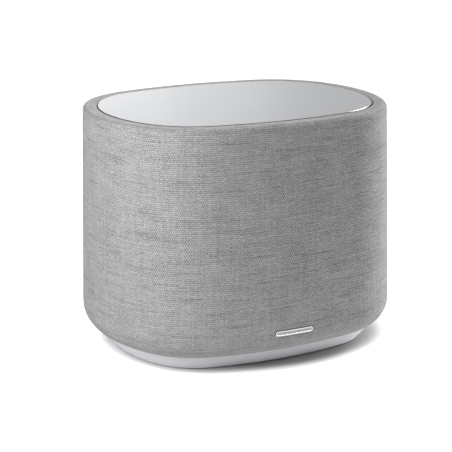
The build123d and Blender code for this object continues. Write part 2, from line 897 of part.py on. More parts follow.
def front_pole_plate():
    return washer(front_plate_radius, front_plate_bore(), front_plate_z, magnet_z)


def ring_magnet():
    return washer(magnet_radius, magnet_bore, magnet_z, back_plate_z)


def back_plate():
    pole_radius = former_radius - former_wall - pole_gap
    plate = rod(front_plate_radius, back_plate_z, back_plate_z + back_plate_thickness)
    plate += rod(pole_radius, neck_top, back_plate_z)
    return plate - rod(vent_radius, neck_top, back_plate_z + back_plate_thickness)


def cone_front(radius):
    """Height of the cone's front face at this radius."""
    return cone_base + cone_depth * (cone_radius - radius) / (cone_radius - former_radius)


def cone_back(radius):
    return cone_front(radius) + cone_thickness


def cone():
    neck = former_radius
    edge = cone_radius + cone_lip
    return turned((edge, cone_base), (edge, cone_base + cone_thickness),
                  (cone_radius, cone_base + cone_thickness), (neck, cone_back(neck)),
                  (neck, cone_front(neck)), (cone_radius, cone_base))


def dust_cap():
    rim = cone_front(dust_cap_radius)
    outer = ThreePointArc((dust_cap_radius, rim), arc_middle(dust_cap_radius, rim, dust_cap_rise),
                          (0, rim - dust_cap_rise))
    inner_radius = dust_cap_radius - dust_cap_thickness
    inner_rise = dust_cap_rise - dust_cap_thickness
    inner = ThreePointArc((inner_radius, rim), arc_middle(inner_radius, rim, inner_rise),
                          (0, rim - inner_rise))
    closing = [Line(outer @ 0, inner @ 0), Line(outer @ 1, inner @ 1)]
    return revolve(Plane.XZ * make_face([outer, inner] + closing), Axis.Z)


def arc_middle(radius, rim, rise):
    """A point half way round a shallow dome that hangs below its rim."""
    sphere = (radius**2 + rise**2) / (2 * rise)
    half = math.asin(radius / sphere) / 2
    return sphere * math.sin(half), rim - rise + sphere * (1 - math.cos(half))


def coil_middle():
    return front_plate_z + front_plate_thickness / 2


def voice_coil_former():
    bottom = cone_front(former_radius) - cone_thickness
    top = coil_middle() + coil_height / 2 + former_past_coil
    return washer(former_radius, former_radius - former_wall, bottom, top)


def voice_coil():
    middle = coil_middle()
    return washer(former_radius + coil_thickness, former_radius, middle - coil_height / 2,
                  middle + coil_height / 2)


def surround():
    roll_outer = surround_roll + surround_thickness
    middle = (cone_radius + cone_lip + flange_lip_radius) / 2
    low = flange_bottom - surround_thickness
    flat_out = (middle + roll_outer + surround_flat)
    flat_in = (middle - roll_outer - cone_lip * 0.8)
    face = [
        Line((flat_in, flange_bottom), (middle - surround_roll, flange_bottom)),
        ThreePointArc((middle - surround_roll, flange_bottom), (middle, flange_bottom - surround_roll),
                      (middle + surround_roll, flange_bottom)),
        Line((middle + surround_roll, flange_bottom), (flat_out, flange_bottom)),
        Line((flat_out, flange_bottom), (flat_out, low)),
        Line((flat_out, low), (middle + roll_outer, low)),
        ThreePointArc((middle + roll_outer, low), (middle, low - surround_roll),
                      (middle - roll_outer, low)),
        Line((middle - roll_outer, low), (flat_in, low)),
        Line((flat_in, low), (flat_in, flange_bottom)),
    ]
    return revolve(Plane.XZ * make_face(face), Axis.Z)


def spider():
    """Corrugated disc that centres the former, glued to the basket's ledge."""
    inner = former_radius + joint_clearance
    outer = basket_neck_radius - basket_wall - joint_clearance
    flat = outer - ledge_radius
    waves = 4
    pitch = (ledge_radius - flat - inner) / waves
    lower = [(inner, spider_z)]
    for index in range(waves):
        start = inner + index * pitch
        lower.append((start + pitch * 0.25, spider_z + spider_wave))
        lower.append((start + pitch * 0.75, spider_z - spider_wave))
    lower += [(ledge_radius - flat, spider_z), (outer, spider_z)]
    upper = [(radius, height + spider_thickness) for radius, height in reversed(lower)]
    return turned(*lower, *upper)


def driver_screws():
    length = flange_thickness + driver_seal + baffle_thickness * 0.8
    return group([Pos(x, y, flange_bottom) * small_screw(length) for x, y in driver_screw_places()])


# ---- connections on the back -------------------------------------------------------------------------
def panel_screw_places():
    return [(sx * panel_screw_x, panel_z + sz * panel_screw_z) for sx in (-1, 1) for sz in (-1, 1)]


def window_sketch():
    return panel_sketch(panel_width - 2 * bezel_wall, panel_height - 2 * bezel_wall,
                        panel_corner - bezel_wall)


def leaning_back(outer, inner):
    """What lies between two depths under the fabric's face, where it leans in above the widest level."""
    shoulder = crest_z - rim_outer_radius
    profile = make_face(Polyline((-outer, widest_z), (-(outer + wall_draft), shoulder),
                                 (-(inner + wall_draft), shoulder), (-inner, widest_z), close=True))
    return band(profile, ["back"])


def rear_bezel():
    """A frame round the connections: a wall down to the panel and a lap over the fabric's cut edge."""
    wall = behind(panel_sketch(panel_width, panel_height, panel_corner), panel_front, body_depth)
    wall &= leaning_back(-bezel_proud, panel_recess + panel_thickness)
    lap_width = panel_width + 2 * bezel_lap
    lap_height = panel_height + 2 * bezel_lap
    lap = behind(panel_sketch(lap_width, lap_height, panel_corner + bezel_lap), 0, body_depth)
    lap &= leaning_back(-bezel_proud, -bezel_lap_gap)
    return wall + lap - behind(window_sketch(), 0, body_depth)


def inlet_sketch(extra):
    width = inlet_width + 2 * extra
    height = inlet_height + 2 * extra
    return Pos(inlet_x, panel_z) * RectangleRounded(width, height, min(width, height) * 0.3)


def service_sketch(extra):
    width = service_width + 2 * extra
    height = service_height + 2 * extra
    return Pos(service_x, panel_z) * RectangleRounded(width, height, height * 0.3)


def service_plate():
    plate = behind(panel_sketch(panel_width, panel_height, panel_corner), panel_back, panel_front)
    plate -= behind(inlet_sketch(inlet_wall + button_clearance), panel_back, panel_front)
    plate -= behind(service_sketch(button_clearance), panel_back, panel_front)
    plate -= rod_back(button_radius + button_clearance, button_x, panel_z, panel_back, panel_front)
    plate -= rod_back(light_radius + button_clearance, light_x, panel_z, panel_back, panel_front)
    for x, z in panel_screw_places():
        plate -= rod_back(small_shank + screw_clearance, x, z, panel_back, panel_front)
    for side in (-1, 1):
        x = control_x + side * control_post_x
        plate += rod_back(control_post_radius, x, panel_z, control_face, panel_back)
    return plate


def panel_screws():
    length = panel_thickness + pad_depth * 0.7
    return group([
        Pos(x, panel_front, z) * Rot(90, 0, 0) * small_screw(length)
        for x, z in panel_screw_places()
    ])


def inlet_mouth():
    return panel_front + inlet_flange_thickness


def mains_inlet():
    """A two-pin appliance inlet, pushed in from outside."""
    back = inlet_mouth() - inlet_depth - inlet_wall
    shell = behind(inlet_sketch(inlet_wall), back, panel_front)
    shell += behind(inlet_sketch(inlet_wall + inlet_flange), panel_front, inlet_mouth())
    shell -= behind(inlet_sketch(0), inlet_mouth() - inlet_depth, inlet_mouth())
    for x in inlet_pin_places():
        shell -= rod_back(pin_radius, x, panel_z, back, inlet_mouth())
    return shell


def inlet_pin_places():
    return [inlet_x - pin_spacing / 2, inlet_x + pin_spacing / 2]


def pin_back():
    return inlet_mouth() - inlet_depth - inlet_wall - pin_tail


def inlet_pins():
    return group([
        rod_back(pin_radius, x, panel_z, pin_back(), inlet_mouth() - pin_recess)
        for x in inlet_pin_places()
    ])


def button_back():
    """Y of the button's inner end, at rest."""
    return panel_back - button_stop - button_collar_thickness


def connect_button():
    collar_back = button_back()
    collar = rod_back(button_radius + button_collar, button_x, panel_z, collar_back,
                      collar_back + button_collar_thickness)
    cap = rod_back(button_radius, button_x, panel_z, collar_back, panel_front + button_proud)
    edge = cap.faces().sort_by(Axis.Y)[-1].edges()
    return chamfer(edge, button_clearance * 3) + collar


def switch_plunger():
    return rod_back(plunger_radius, button_x, panel_z, button_back() - plunger_height, button_back())


def tact_switch():
    """The switch's housing, with the well that its plunger sinks into."""
    front = control_face
    housing = behind(Pos(button_x, panel_z) * Rectangle(switch_size, switch_size), front, switch_face())
    well = rod_back(plunger_radius + button_clearance, button_x, panel_z,
                    front + switch_floor, switch_face())
    return housing - well


def switch_face():
    return button_back() - button_travel - joint_clearance


def control_board():
    middle = Pos(control_x, panel_z)
    back = control_face
    return behind(middle * Rectangle(control_width, control_height), back - board_thickness, back)


def status_light_guide():
    inner = panel_back - button_clearance
    guide = rod_back(light_radius, light_x, panel_z, control_face + light_stop, panel_front + light_proud)
    return guide + rod_back(light_radius + light_flange, light_x, panel_z,
                            inner - light_flange_thickness, inner)


def service_port():
    shell = behind(service_sketch(0), control_face, panel_front)
    socket = behind(service_sketch(-service_wall), control_face + service_wall, panel_front)
    tongue = behind(Pos(service_x, panel_z) * Rectangle(service_width * 0.6, service_wall * 1.4),
                    control_face, panel_front - service_wall * 4)
    return shell - socket + tongue


# ---- electronics inside ------------------------------------------------------------------------------
def amp_board():
    board = behind(Pos(0, amp_z) * Rectangle(amp_width, amp_height), amp_front, amp_face)
    for x, z in amp_boss_places():
        board -= rod_back(small_shank + screw_clearance, x, z, amp_front, amp_face)
    return board


def board_screws():
    length = board_thickness + pad_depth * 0.7
    return group([
        Pos(x, amp_front, z) * Rot(-90, 0, 0) * small_screw(length)
        for x, z in amp_boss_places()
    ])


def heat_sink():
    z = amp_z + upper_row
    sink = block(sink_x, amp_front - sink_base / 2, z, sink_width, sink_base, sink_height)
    pitch = (sink_width - sink_fin) / (sink_fins - 1)
    for index in range(sink_fins):
        x = sink_x - sink_width / 2 + sink_fin / 2 + index * pitch
        sink += block(x, amp_front - sink_depth / 2, z, sink_fin, sink_depth, sink_height)
    return sink


def core_z():
    return amp_z + upper_row


def transformer_core():
    core = block(core_x, amp_front - core_depth / 2, core_z(), core_width, core_depth, core_height)
    window = block(core_x, amp_front - core_depth / 2, core_z(),
                   core_width * core_window, core_depth, core_height * core_window)
    limb = rod_back(limb_radius, core_x, core_z(), amp_front - core_depth, amp_front)
    return core - window + limb_bridge(limb)


def limb_bridge(limb):
    """The middle limb stands on a cheek that joins it to the outer limbs."""
    cheek_depth = core_depth * core_cheek
    cheek = block(core_x, amp_front - cheek_depth / 2, core_z(), core_width, cheek_depth, core_height)
    return limb + cheek


def transformer_winding():
    front = amp_front - core_depth * (1 - core_cheek / 2)
    back = amp_front - core_depth * core_cheek - joint_clearance
    outer = min(winding_radius, core_height * core_window / 2 - joint_clearance)
    winding = rod_back(outer, core_x, core_z(), front, back)
    return winding - rod_back(limb_radius + joint_clearance / 2, core_x, core_z(), front, back)


def capacitor_places():
    return [amp_z + upper_row + offset * capacitor_pitch for offset in (-1, 0)]


def filter_capacitors():
    cans = []
    for z in capacitor_places():
        can = rod_back(capacitor_radius, capacitor_x, z, amp_front - capacitor_length, amp_front)
        cans.append(fillet(can.faces().sort_by(Axis.Y)[0].edges(), capacitor_radius * 0.12))
    return group(cans)


def module_z():
    return amp_z - module_drop


def module_back():
    return amp_front - module_standoff


def wireless_module():
    board = block(module_x, module_back() - board_thickness / 2, module_z(),
                  module_width, board_thickness, module_height)
    header_z = module_z() - module_height / 2 + shield_edge
    header = block(module_x, module_back() + module_standoff / 2, header_z,
                   module_width * 0.7, module_standoff, shield_edge)
    shield_y = module_back() - board_thickness - shield_height / 2
    shield = block(module_x, shield_y, module_z() - shield_edge / 2,
                   module_width - 2 * shield_edge, shield_height, module_height - 3 * shield_edge)
    return board + header + shield


def antenna():
    middle_z = tub_top - tub_wall - antenna_gap - antenna_thickness / 2
    return block(antenna_x, antenna_y, middle_z, antenna_length, antenna_width, antenna_thickness)


def antenna_lead():
    """Thin coax from the wireless module up to the antenna under the cabinet's roof."""
    start_x = module_x - module_width / 2 + shield_edge
    start_y = module_back() - board_thickness
    start_z = module_z() + module_height / 2 - shield_edge
    top = tub_top - tub_wall - antenna_gap - antenna_thickness
    points = [
        (start_x, start_y, start_z),
        (start_x, start_y - coax_run, start_z),
        (start_x - coax_run / 2, start_y - 1.3 * coax_run, start_z + 3.5 * coax_run),
        (antenna_x, antenna_y, top - 3 * coax_run),
        (antenna_x, antenna_y, top),
    ]
    return lead(points, coax_radius, [0.85 * coax_run, 2.8 * coax_run, 2.8 * coax_run])


def driver_lead():
    """Two-core lead from the amplifier board to the driver's terminals."""
    turn = math.radians(arm_angle)
    reach = terminal_radius + terminal_thickness + tab_length + lead_radius
    end_x, end_y = reach * math.cos(turn), reach * math.sin(turn)
    start_x, start_z = end_x + 7 * lead_radius, terminal_z + 13 * lead_radius
    points = [
        (start_x, amp_front, start_z),
        (start_x, amp_front - 6 * lead_radius, start_z),
        (end_x + 2.5 * lead_radius, end_y + 3 * lead_radius, terminal_z + 6 * lead_radius),
        (end_x, end_y, terminal_z),
    ]
    return lead(points, lead_radius, [3 * lead_radius, 4 * lead_radius])


def mains_leads():
    """Two wires from the inlet's pins up to the amplifier board."""
    wires = []
    middle = (pin_back() + amp_face) / 2
    bend = (pin_back() - amp_face) / 2 - joint_clearance
    for x in inlet_pin_places():
        points = [
            (x, pin_back(), panel_z),
            (x, middle, panel_z),
            (x, middle, panel_z + mains_rise),
            (x, amp_face, panel_z + mains_rise),
        ]
        wires.append(lead(points, wire_radius, [bend, bend]))
    return group(wires)


def control_lead():
    """Lead between the control board and the amplifier board."""
    x = control_x - control_width / 2 + 4
    z = panel_z - control_height / 2 + 3
    points = [
        (x, control_face - board_thickness, z),
        (x, control_face - board_thickness - 6, z),
        (x, amp_face + 6, z - 8),
        (x, amp_face, z - 8),
    ]
    return lead(points, wire_radius, [4.0, 4.0])


PIECES = {
    "fabric_sleeve": fabric_sleeve,
    "grille_frame": grille_frame,
    "badge": badge,
    "badge_clips": badge_clips,
    "top_plate": top_plate,
    "plate_foam": plate_foam,
    "top_tray": top_tray,
    "tray_screws": tray_screws,
    "base_ring": base_ring,
    "base_pan": base_pan,
    "base_screws": base_screws,
    "foot_ring": foot_ring,
    "cabinet_floor": cabinet_floor,
    "cabinet_gasket": cabinet_gasket,
    "cabinet_tub": cabinet_tub,
    "cabinet_screws": cabinet_screws,
    "port_tube_left": lambda: port_tube(-1),
    "port_tube_right": lambda: port_tube(1),
    "damping_wadding": damping_wadding,
    "driver_gasket": driver_gasket,
    "driver_basket": driver_basket,
    "driver_terminals": driver_terminals,
    "tinsel_leads": tinsel_leads,
    "front_pole_plate": front_pole_plate,
    "ring_magnet": ring_magnet,
    "back_plate": back_plate,
    "cone": cone,
    "dust_cap": dust_cap,
    "voice_coil_former": voice_coil_former,
    "voice_coil": voice_coil,
    "surround": surround,
    "spider": spider,
    "driver_screws": driver_screws,
    "rear_bezel": rear_bezel,
    "service_plate": service_plate,
    "panel_screws": panel_screws,
    "mains_inlet": mains_inlet,
    "inlet_pins": inlet_pins,
    "connect_button": connect_button,
    "switch_plunger": switch_plunger,
    "tact_switch": tact_switch,
    "control_board": control_board,
    "status_light_guide": status_light_guide,
    "service_port": service_port,
    "amp_board": amp_board,
    "board_screws": board_screws,
    "heat_sink": heat_sink,
    "transformer_core": transformer_core,
    "transformer_winding": transformer_winding,
    "filter_capacitors": filter_capacitors,
    "wireless_module": wireless_module,
    "antenna": antenna,
    "antenna_lead": antenna_lead,
    "driver_lead": driver_lead,
    "mains_leads": mains_leads,
    "control_lead": control_lead,
}


def main():
    os.makedirs("parts", exist_ok=True)
    for name, make in PIECES.items():
        export_step(make(), os.path.join("parts", name + ".step"))


main()
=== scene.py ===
"""Wireless bass speaker in a woven sleeve: the sleeve, the badge, every finish and a plain studio."""

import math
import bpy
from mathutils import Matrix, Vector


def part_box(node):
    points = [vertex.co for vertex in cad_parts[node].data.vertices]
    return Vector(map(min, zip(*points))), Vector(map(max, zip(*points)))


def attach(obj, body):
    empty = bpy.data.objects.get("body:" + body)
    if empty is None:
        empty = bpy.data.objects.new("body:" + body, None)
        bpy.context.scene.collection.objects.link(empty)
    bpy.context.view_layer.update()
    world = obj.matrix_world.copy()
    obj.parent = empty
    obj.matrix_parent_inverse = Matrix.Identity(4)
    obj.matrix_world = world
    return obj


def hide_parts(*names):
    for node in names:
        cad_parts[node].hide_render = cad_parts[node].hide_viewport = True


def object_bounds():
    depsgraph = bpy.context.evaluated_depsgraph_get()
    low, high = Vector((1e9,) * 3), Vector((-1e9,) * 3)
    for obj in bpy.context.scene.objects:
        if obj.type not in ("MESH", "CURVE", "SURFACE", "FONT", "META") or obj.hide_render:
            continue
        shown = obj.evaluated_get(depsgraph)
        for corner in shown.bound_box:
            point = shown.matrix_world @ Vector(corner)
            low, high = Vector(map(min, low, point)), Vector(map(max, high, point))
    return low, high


bl_info = {
    "name": "Woven bass speaker",
    "version": (1, 0, 0),
    "blender": (4, 5, 0),
    "location": "View3D > Sidebar > Speaker",
    "description": "Dresses the frame of a wireless bass speaker in its fabric, metal and plastic",
    "category": "Object",
}

import bmesh
import bpy
from mathutils import Matrix, Quaternion, Vector

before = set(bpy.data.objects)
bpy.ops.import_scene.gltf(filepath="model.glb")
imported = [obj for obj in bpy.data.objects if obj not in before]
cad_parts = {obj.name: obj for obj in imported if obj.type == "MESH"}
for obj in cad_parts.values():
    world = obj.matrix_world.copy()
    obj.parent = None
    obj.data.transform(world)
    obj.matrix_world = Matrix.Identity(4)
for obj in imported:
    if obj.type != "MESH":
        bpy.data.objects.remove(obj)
cad_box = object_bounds()
sleeve_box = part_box("fabric_sleeve")


# ---- sizes and colours ---------------------------------------------------------------------------------


def length(name, description, default):
    return bpy.props.FloatProperty(
        name=name, description=description, default=default, unit="LENGTH", precision=5
    )


def share(name, description, default):
    return bpy.props.FloatProperty(
        name=name, description=description, default=default, min=0, max=1, subtype="FACTOR"
    )


def angle(name, description, degrees):
    return bpy.props.FloatProperty(
        name=name, description=description, default=math.radians(degrees), subtype="ANGLE"
    )


def colour(name, description, default):
    return bpy.props.FloatVectorProperty(
        name=name, description=description, default=default, size=3, min=0, max=1, subtype="COLOR"
    )


class SleeveSizes(bpy.types.PropertyGroup):
    width: length("Width", "Widest part of the body", sleeve_box[1].x - sleeve_box[0].x)
    depth: length("Depth", "Deepest part of the body", sleeve_box[1].y - sleeve_box[0].y)
    end_radius: length("End radius", "Radius of the rounded ends", 0.1745)
    corner_radius: length("Corner radius", "Radius of the four soft corners", 0.1065)
    front_radius: length("Front radius", "Radius of the shallow front and back", 0.4095)
    crest: length("Crest", "Height of the rim's highest line", sleeve_box[1].z)
    rim_outer: length("Outer rim", "Radius where the wall rolls over into the rim", 0.0046)
    rim_inner: length("Inner rim", "Radius where the rim rolls down beside the plate", 0.003)
    draft: length("Draft", "How far the wall leans in by its upper edge", 0.0057)
    tuck_inset: length("Tuck inset", "Where the sleeve goes down beside the plate", 0.0225)
    tuck: length("Tuck", "How deep the sleeve goes beside the plate", 0.008)
    widest: length("Widest height", "Height at which the wall is widest", 0.0447)
    lower_radius: length("Lower radius", "Radius that brings the wall in above the base", 0.0284)
    hem_height: length("Hem height", "Height of the lower edge", sleeve_box[0].z)
    hem: length("Hem", "Fabric turned in under the wall", 0.006)
    thickness: length("Fabric thickness", "Thickness of the woven cover", 0.0012)
    seam_angle: angle("Seam angle", "Where the seam stands, anticlockwise from the right end", 171)
    opening_width: length("Opening width", "Width of the cut for the rear panel", 0.1324)
    opening_height: length("Opening height", "Height of the cut for the rear panel", 0.0664)
    opening_corner: length("Opening corner", "Corner cut off the rear opening", 0.0062)


class WeaveLook(bpy.types.PropertyGroup):
    warp_pitch: length("Warp pitch", "Distance between two upright threads", 0.00131)
    weft_pitch: length("Weft pitch", "Distance between two threads round the body", 0.0022)
    light: colour("Light yarn", "Palest fibres of the melange", (0.735, 0.735, 0.73))
    dark: colour("Dark yarn", "Darkest fibres of the melange", (0.20, 0.20, 0.205))
    speckle: share("Speckle", "How much one ply of a crossing differs from the next", 0.17)
    checker: share("Checker", "How much paler the crossings are where the weft lies on top", 0.27)
    slub: share("Slubs", "How far thick places in the weft stand out", 0.55)
    strand: share("Dark strands", "How dark the few dark plies are", 0.18)
    relief: length("Relief", "Height of a thread's crown", 0.0003)
    seam: share("Seam", "How pale the sewn seam shows", 0.22)


class FinishColours(bpy.types.PropertyGroup):
    plate: colour("Top plate", "Satin metal of the top", (0.305, 0.31, 0.318))
    # Painted shade: the plate's side is dark to stand for the shadowed groove beside the rim and its dark
    # reflection.
    plate_side_shade: colour("Plate edge", "Dark lacquer on the plate's side", (0.11, 0.12, 0.145))
    badge_field: colour("Badge field", "Satin face of the bare badge", (0.24, 0.24, 0.245))
    badge_rim: colour("Badge rim", "Polished rim round that face", (0.52, 0.52, 0.53))
    base: colour("Base", "Pale moulding under the sleeve", (0.70, 0.702, 0.722))
    dark_plastic: colour("Dark plastic", "Mouldings that stay out of sight", (0.022, 0.022, 0.024))
    bezel: colour("Bezel", "Ring round the rear panel", (0.16, 0.16, 0.165))
    panel: colour("Panel", "Rear panel", (0.028, 0.028, 0.031))
    button: colour("Button", "Cap of the connect button", (0.075, 0.075, 0.08))
    rubber: colour("Rubber", "Foot ring and surround", (0.018, 0.018, 0.019))


class StudioLook(bpy.types.PropertyGroup):
    floor: colour("Floor", "Floor near the speaker", (0.93, 0.93, 0.935))
    far_floor: colour("Far floor", "Floor well away from the speaker", (0.60, 0.60, 0.605))
    # Painted shadow: the floor's colour near the base as only the camera sees it; light bouncing off the
    # floor uses the plain floor.
    shadow: colour("Shadow", "The floor as seen close to the base", (0.30, 0.30, 0.303))
    floor_radius: length("Floor radius", "How far the floor reaches", 9.0)
    shade_shift: length("Shade shift", "How far the shadow lies to the right and to the front", 0.02)
    contact: length("Contact", "How far the contact shade reaches from the base", 0.022)
    fill: bpy.props.FloatProperty(
        name="Fill", description="Even light from all round", default=0.125, min=0
    )
    key: bpy.props.FloatProperty(
        name="Key", description="Large panel of light beyond the left end", default=7.6, min=0, unit="POWER"
    )
    rim: bpy.props.FloatProperty(
        name="Rim", description="Low soft light from beyond the right end", default=4.3, min=0
    )
    glint: bpy.props.FloatProperty(
        name="Glint", description="Small light that the plate's edge mirrors", default=0.3, min=0
    )
    wash: bpy.props.FloatProperty(
        name="Wash", description="Panels of light that the plate mirrors", default=1.0, min=0, unit="POWER"
    )
    panel_size: length("Panel size", "Side of each panel of light", 0.6)
    azimuth: angle("Azimuth", "Where the camera stands", -26.718)
    elevation: angle("Elevation", "How high the camera stands", 14.858)
    aim_height: length("Aim height", "Height of the point that the camera stands off from", 0.1355)
    distance: length("Distance", "Camera to that point", 1.7888)
    yaw: angle("Yaw", "Which way the camera looks", -26.36)
    pitch: angle("Pitch", "How far down the camera looks", 15.11)
    roll: angle("Roll", "Turn of the camera about its line of sight", -0.24)
    lens: bpy.props.FloatProperty(
        name="Lens", description="Focal length in millimetres", default=123.7, min=1
    )


# ---- short ways to join nodes --------------------------------------------------------------------------


class Graph:
    """Adds and joins the nodes of one material."""

    def __init__(self, name):
        self.material = bpy.data.materials.new(name)
        self.material.use_nodes = True
        self.tree = self.material.node_tree
        self.shader = self.tree.nodes["Principled BSDF"]
        self.place = self.add("ShaderNodeTexCoord").outputs["Object"]

    def add(self, kind, **settings):
        node = self.tree.nodes.new(kind)
        for name, value in settings.items():
            setattr(node, name, value)
        return node

    def feed(self, socket, value):
        if isinstance(value, bpy.types.NodeSocket):
            self.tree.links.new(value, socket)
        elif isinstance(value, (tuple, list)) and socket.type == "RGBA" and len(value) == 3:
            socket.default_value = (*value, 1)
        else:
            socket.default_value = value

    def surface(self, **values):
        """Sets or joins the shader's own sockets, with _ for a space in their names."""
        for name, value in values.items():
            self.feed(self.shader.inputs[name.replace("_", " ")], value)
        return self

    def math(self, operation, *values):
        node = self.add("ShaderNodeMath", operation=operation)
        for socket, value in zip(node.inputs, values):
            self.feed(socket, value)
        return node.outputs[0]

    def range(self, value, low, high, new_low=0.0, new_high=1.0, smooth=False):
        node = self.add("ShaderNodeMapRange", interpolation_type="SMOOTHSTEP" if smooth else "LINEAR")
        for socket, each in zip(node.inputs, (value, low, high, new_low, new_high)):
            self.feed(socket, each)
        return node.outputs[0]

    def mix(self, factor, first, second, blend="MIX"):
        node = self.add("ShaderNodeMix", data_type="RGBA", blend_type=blend)
        for socket, value in ((node.inputs[0], factor), (node.inputs[6], first), (node.inputs[7], second)):
            self.feed(socket, value)
        return node.outputs[2]

    def stretch(self, vector, scale=(1, 1, 1), turn=(0, 0, 0), move=(0, 0, 0)):
        node = self.add("ShaderNodeMapping")
        for name, value in (("Vector", vector), ("Scale", scale), ("Rotation", turn), ("Location", move)):
            self.feed(node.inputs[name], value)
        return node.outputs[0]

    def parts(self, vector):
        node = self.add("ShaderNodeSeparateXYZ")
        self.feed(node.inputs[0], vector)
        return node.outputs

    def point(self, x=0.0, y=0.0, z=0.0):
        node = self.add("ShaderNodeCombineXYZ")
        for socket, value in zip(node.inputs, (x, y, z)):
            self.feed(socket, value)
        return node.outputs[0]

    def noise(self, scale, vector=None, detail=2.0, roughness=0.5):
        node = self.add("ShaderNodeTexNoise")
        self.feed(node.inputs["Vector"], self.place if vector is None else vector)
        for name, value in (("Scale", scale), ("Detail", detail), ("Roughness", roughness)):
            self.feed(node.inputs[name], value)
        return node.outputs[0]

    def hypotenuse(self, x, y):
        return self.math("SQRT", self.math("ADD", self.math("POWER", x, 2.0), self.math("POWER", y, 2.0)))

    def cells(self, scale, vector=None, feature="F1"):
        node = self.add("ShaderNodeTexVoronoi", feature=feature)
        self.feed(node.inputs["Vector"], self.place if vector is None else vector)
        self.feed(node.inputs["Scale"], scale)
        return node.outputs[0]

    def wave(self, scale, direction="X", vector=None, distortion=0.0):
        node = self.add("ShaderNodeTexWave", wave_type="BANDS", bands_direction=direction)
        self.feed(node.inputs["Vector"], self.place if vector is None else vector)
        self.feed(node.inputs["Scale"], scale)
        self.feed(node.inputs["Distortion"], distortion)
        return node.outputs["Fac"]

    def shade(self, base, factor, spread=0.12):
        """The base colour, a little darker or paler with the factor."""
        dark = [c * (1 - spread) for c in base]
        pale = [min(1.0, c * (1 + spread)) for c in base]
        return self.mix(factor, dark, pale)

    def bump(self, height, distance, strength=1.0, under=None):
        node = self.add("ShaderNodeBump")
        for name, value in (("Height", height), ("Distance", distance), ("Strength", strength)):
            self.feed(node.inputs[name], value)
        if under is not None:
            self.feed(node.inputs["Normal"], under)
        return node.outputs[0]


def dress(graph, *names):
    """Gives a finish to nodes of the frame."""
    for name in names:
        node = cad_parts[name]
        if not node.material_slots:
            node.data.materials.append(graph.material)
        for each in node.material_slots:
            each.material = graph.material
    return graph


# ---- finishes ------------------------------------------------------------------------------------------


def moulded(name, base, roughness=0.5, grain=1600.0, depth=0.00004):
    """Injection-moulded plastic: a fine spark grain over slow changes in gloss."""
    graph = Graph(name)
    slow = graph.noise(35.0, detail=3.0)
    fine = graph.noise(grain, detail=3.0, roughness=0.6)
    return graph.surface(
        Base_Color=graph.shade(base, slow, 0.06),
        Roughness=graph.range(slow, 0.3, 0.7, roughness - 0.05, roughness + 0.05),
        Normal=graph.bump(fine, depth),
    )


def satin_metal(name, base, roughness, brush=(1, 1, 1), depth=0.000006):
    """Metal with fine scratches along its least stretched direction."""
    graph = Graph(name)
    lines = graph.noise(900.0, graph.stretch(graph.place, brush), detail=4.0, roughness=0.65)
    slow = graph.noise(9.0, detail=2.0)
    return graph.surface(
        Base_Color=graph.shade(base, graph.mix(0.5, lines, slow), 0.07),
        Metallic=1.0,
        Roughness=graph.range(lines, 0.25, 0.75, roughness - 0.06, roughness + 0.06),
        Normal=graph.bump(lines, depth),
    )


def coated_metal(name, base, roughness=0.55, metallic=0.0):
    """Powder coat or black oxide: a fine orange peel."""
    graph = Graph(name)
    peel = graph.cells(1400.0, feature="SMOOTH_F1")
    slow = graph.noise(60.0, detail=3.0)
    return graph.surface(
        Base_Color=graph.shade(base, slow, 0.15),
        Metallic=metallic,
        Roughness=graph.range(slow, 0.3, 0.7, roughness - 0.06, roughness + 0.06),
        Normal=graph.bump(peel, 0.00003),
    )


def soft_rubber(name, base, roughness=0.75):
    """Matte rubber with a faint bloom."""
    graph = Graph(name)
    bloom = graph.noise(50.0, detail=4.0)
    fine = graph.noise(2200.0, detail=2.0)
    return graph.surface(
        Base_Color=graph.shade(base, bloom, 0.3),
        Roughness=graph.range(bloom, 0.3, 0.7, roughness - 0.08, roughness + 0.08),
        Normal=graph.bump(fine, 0.00003),
    )


def open_foam(name, base):
    """Foam tape: rows of small cells."""
    graph = Graph(name)
    cells = graph.cells(1100.0)
    # Darker in the middle of each cell: painted shade in the pores.
    return graph.surface(
        Base_Color=graph.shade(base, cells, 0.5),
        Roughness=0.95,
        Normal=graph.bump(cells, 0.0003),
    )


def loose_felt(name, base):
    """Acoustic wadding: crossed fibres and soft lumps."""
    graph = Graph(name)
    lengthways = graph.noise(420.0, graph.stretch(graph.place, (0.12, 0.12, 1), (0.4, 0, 0.3)), detail=4.0)
    across = graph.noise(420.0, graph.stretch(graph.place, (1, 1, 0.12), (0, 0.5, 0.2)), detail=4.0)
    fibres = graph.math("MAXIMUM", lengthways, across)
    lumps = graph.noise(45.0, detail=3.0)
    return graph.surface(
        Base_Color=graph.shade(base, graph.mix(0.6, lumps, fibres), 0.35),
        Roughness=0.95,
        Sheen_Weight=0.4,
        Normal=graph.bump(lumps, 0.002, under=graph.bump(fibres, 0.0004)),
    )


def pulp(name, base, rings=1400.0):
    """Pressed paper with fibres and faint press rings."""
    graph = Graph(name)
    drawn = graph.stretch(graph.place, (1, 0.25, 1), (0, 0, 0.6))
    fibres = graph.noise(700.0, drawn, detail=5.0, roughness=0.7)
    x, y, _ = graph.parts(graph.place)
    ring = graph.math("SINE", graph.math("MULTIPLY", graph.hypotenuse(x, y), rings))
    return graph.surface(
        Base_Color=graph.shade(base, fibres, 0.4),
        Roughness=0.82,
        Normal=graph.bump(fibres, 0.00015, under=graph.bump(ring, 0.00005)),
    )


def resin_cloth(name, base):
    """Stiffened cloth: an open square weave under amber resin."""
    graph = Graph(name)
    over = graph.math("MULTIPLY", graph.wave(260.0, "X"), graph.wave(260.0, "Y"))
    slow = graph.noise(70.0, detail=3.0)
    return graph.surface(
        Base_Color=graph.mix(over, [c * 0.55 for c in base], graph.shade(base, slow, 0.15)),
        Roughness=0.5,
        Normal=graph.bump(over, 0.0002),
    )


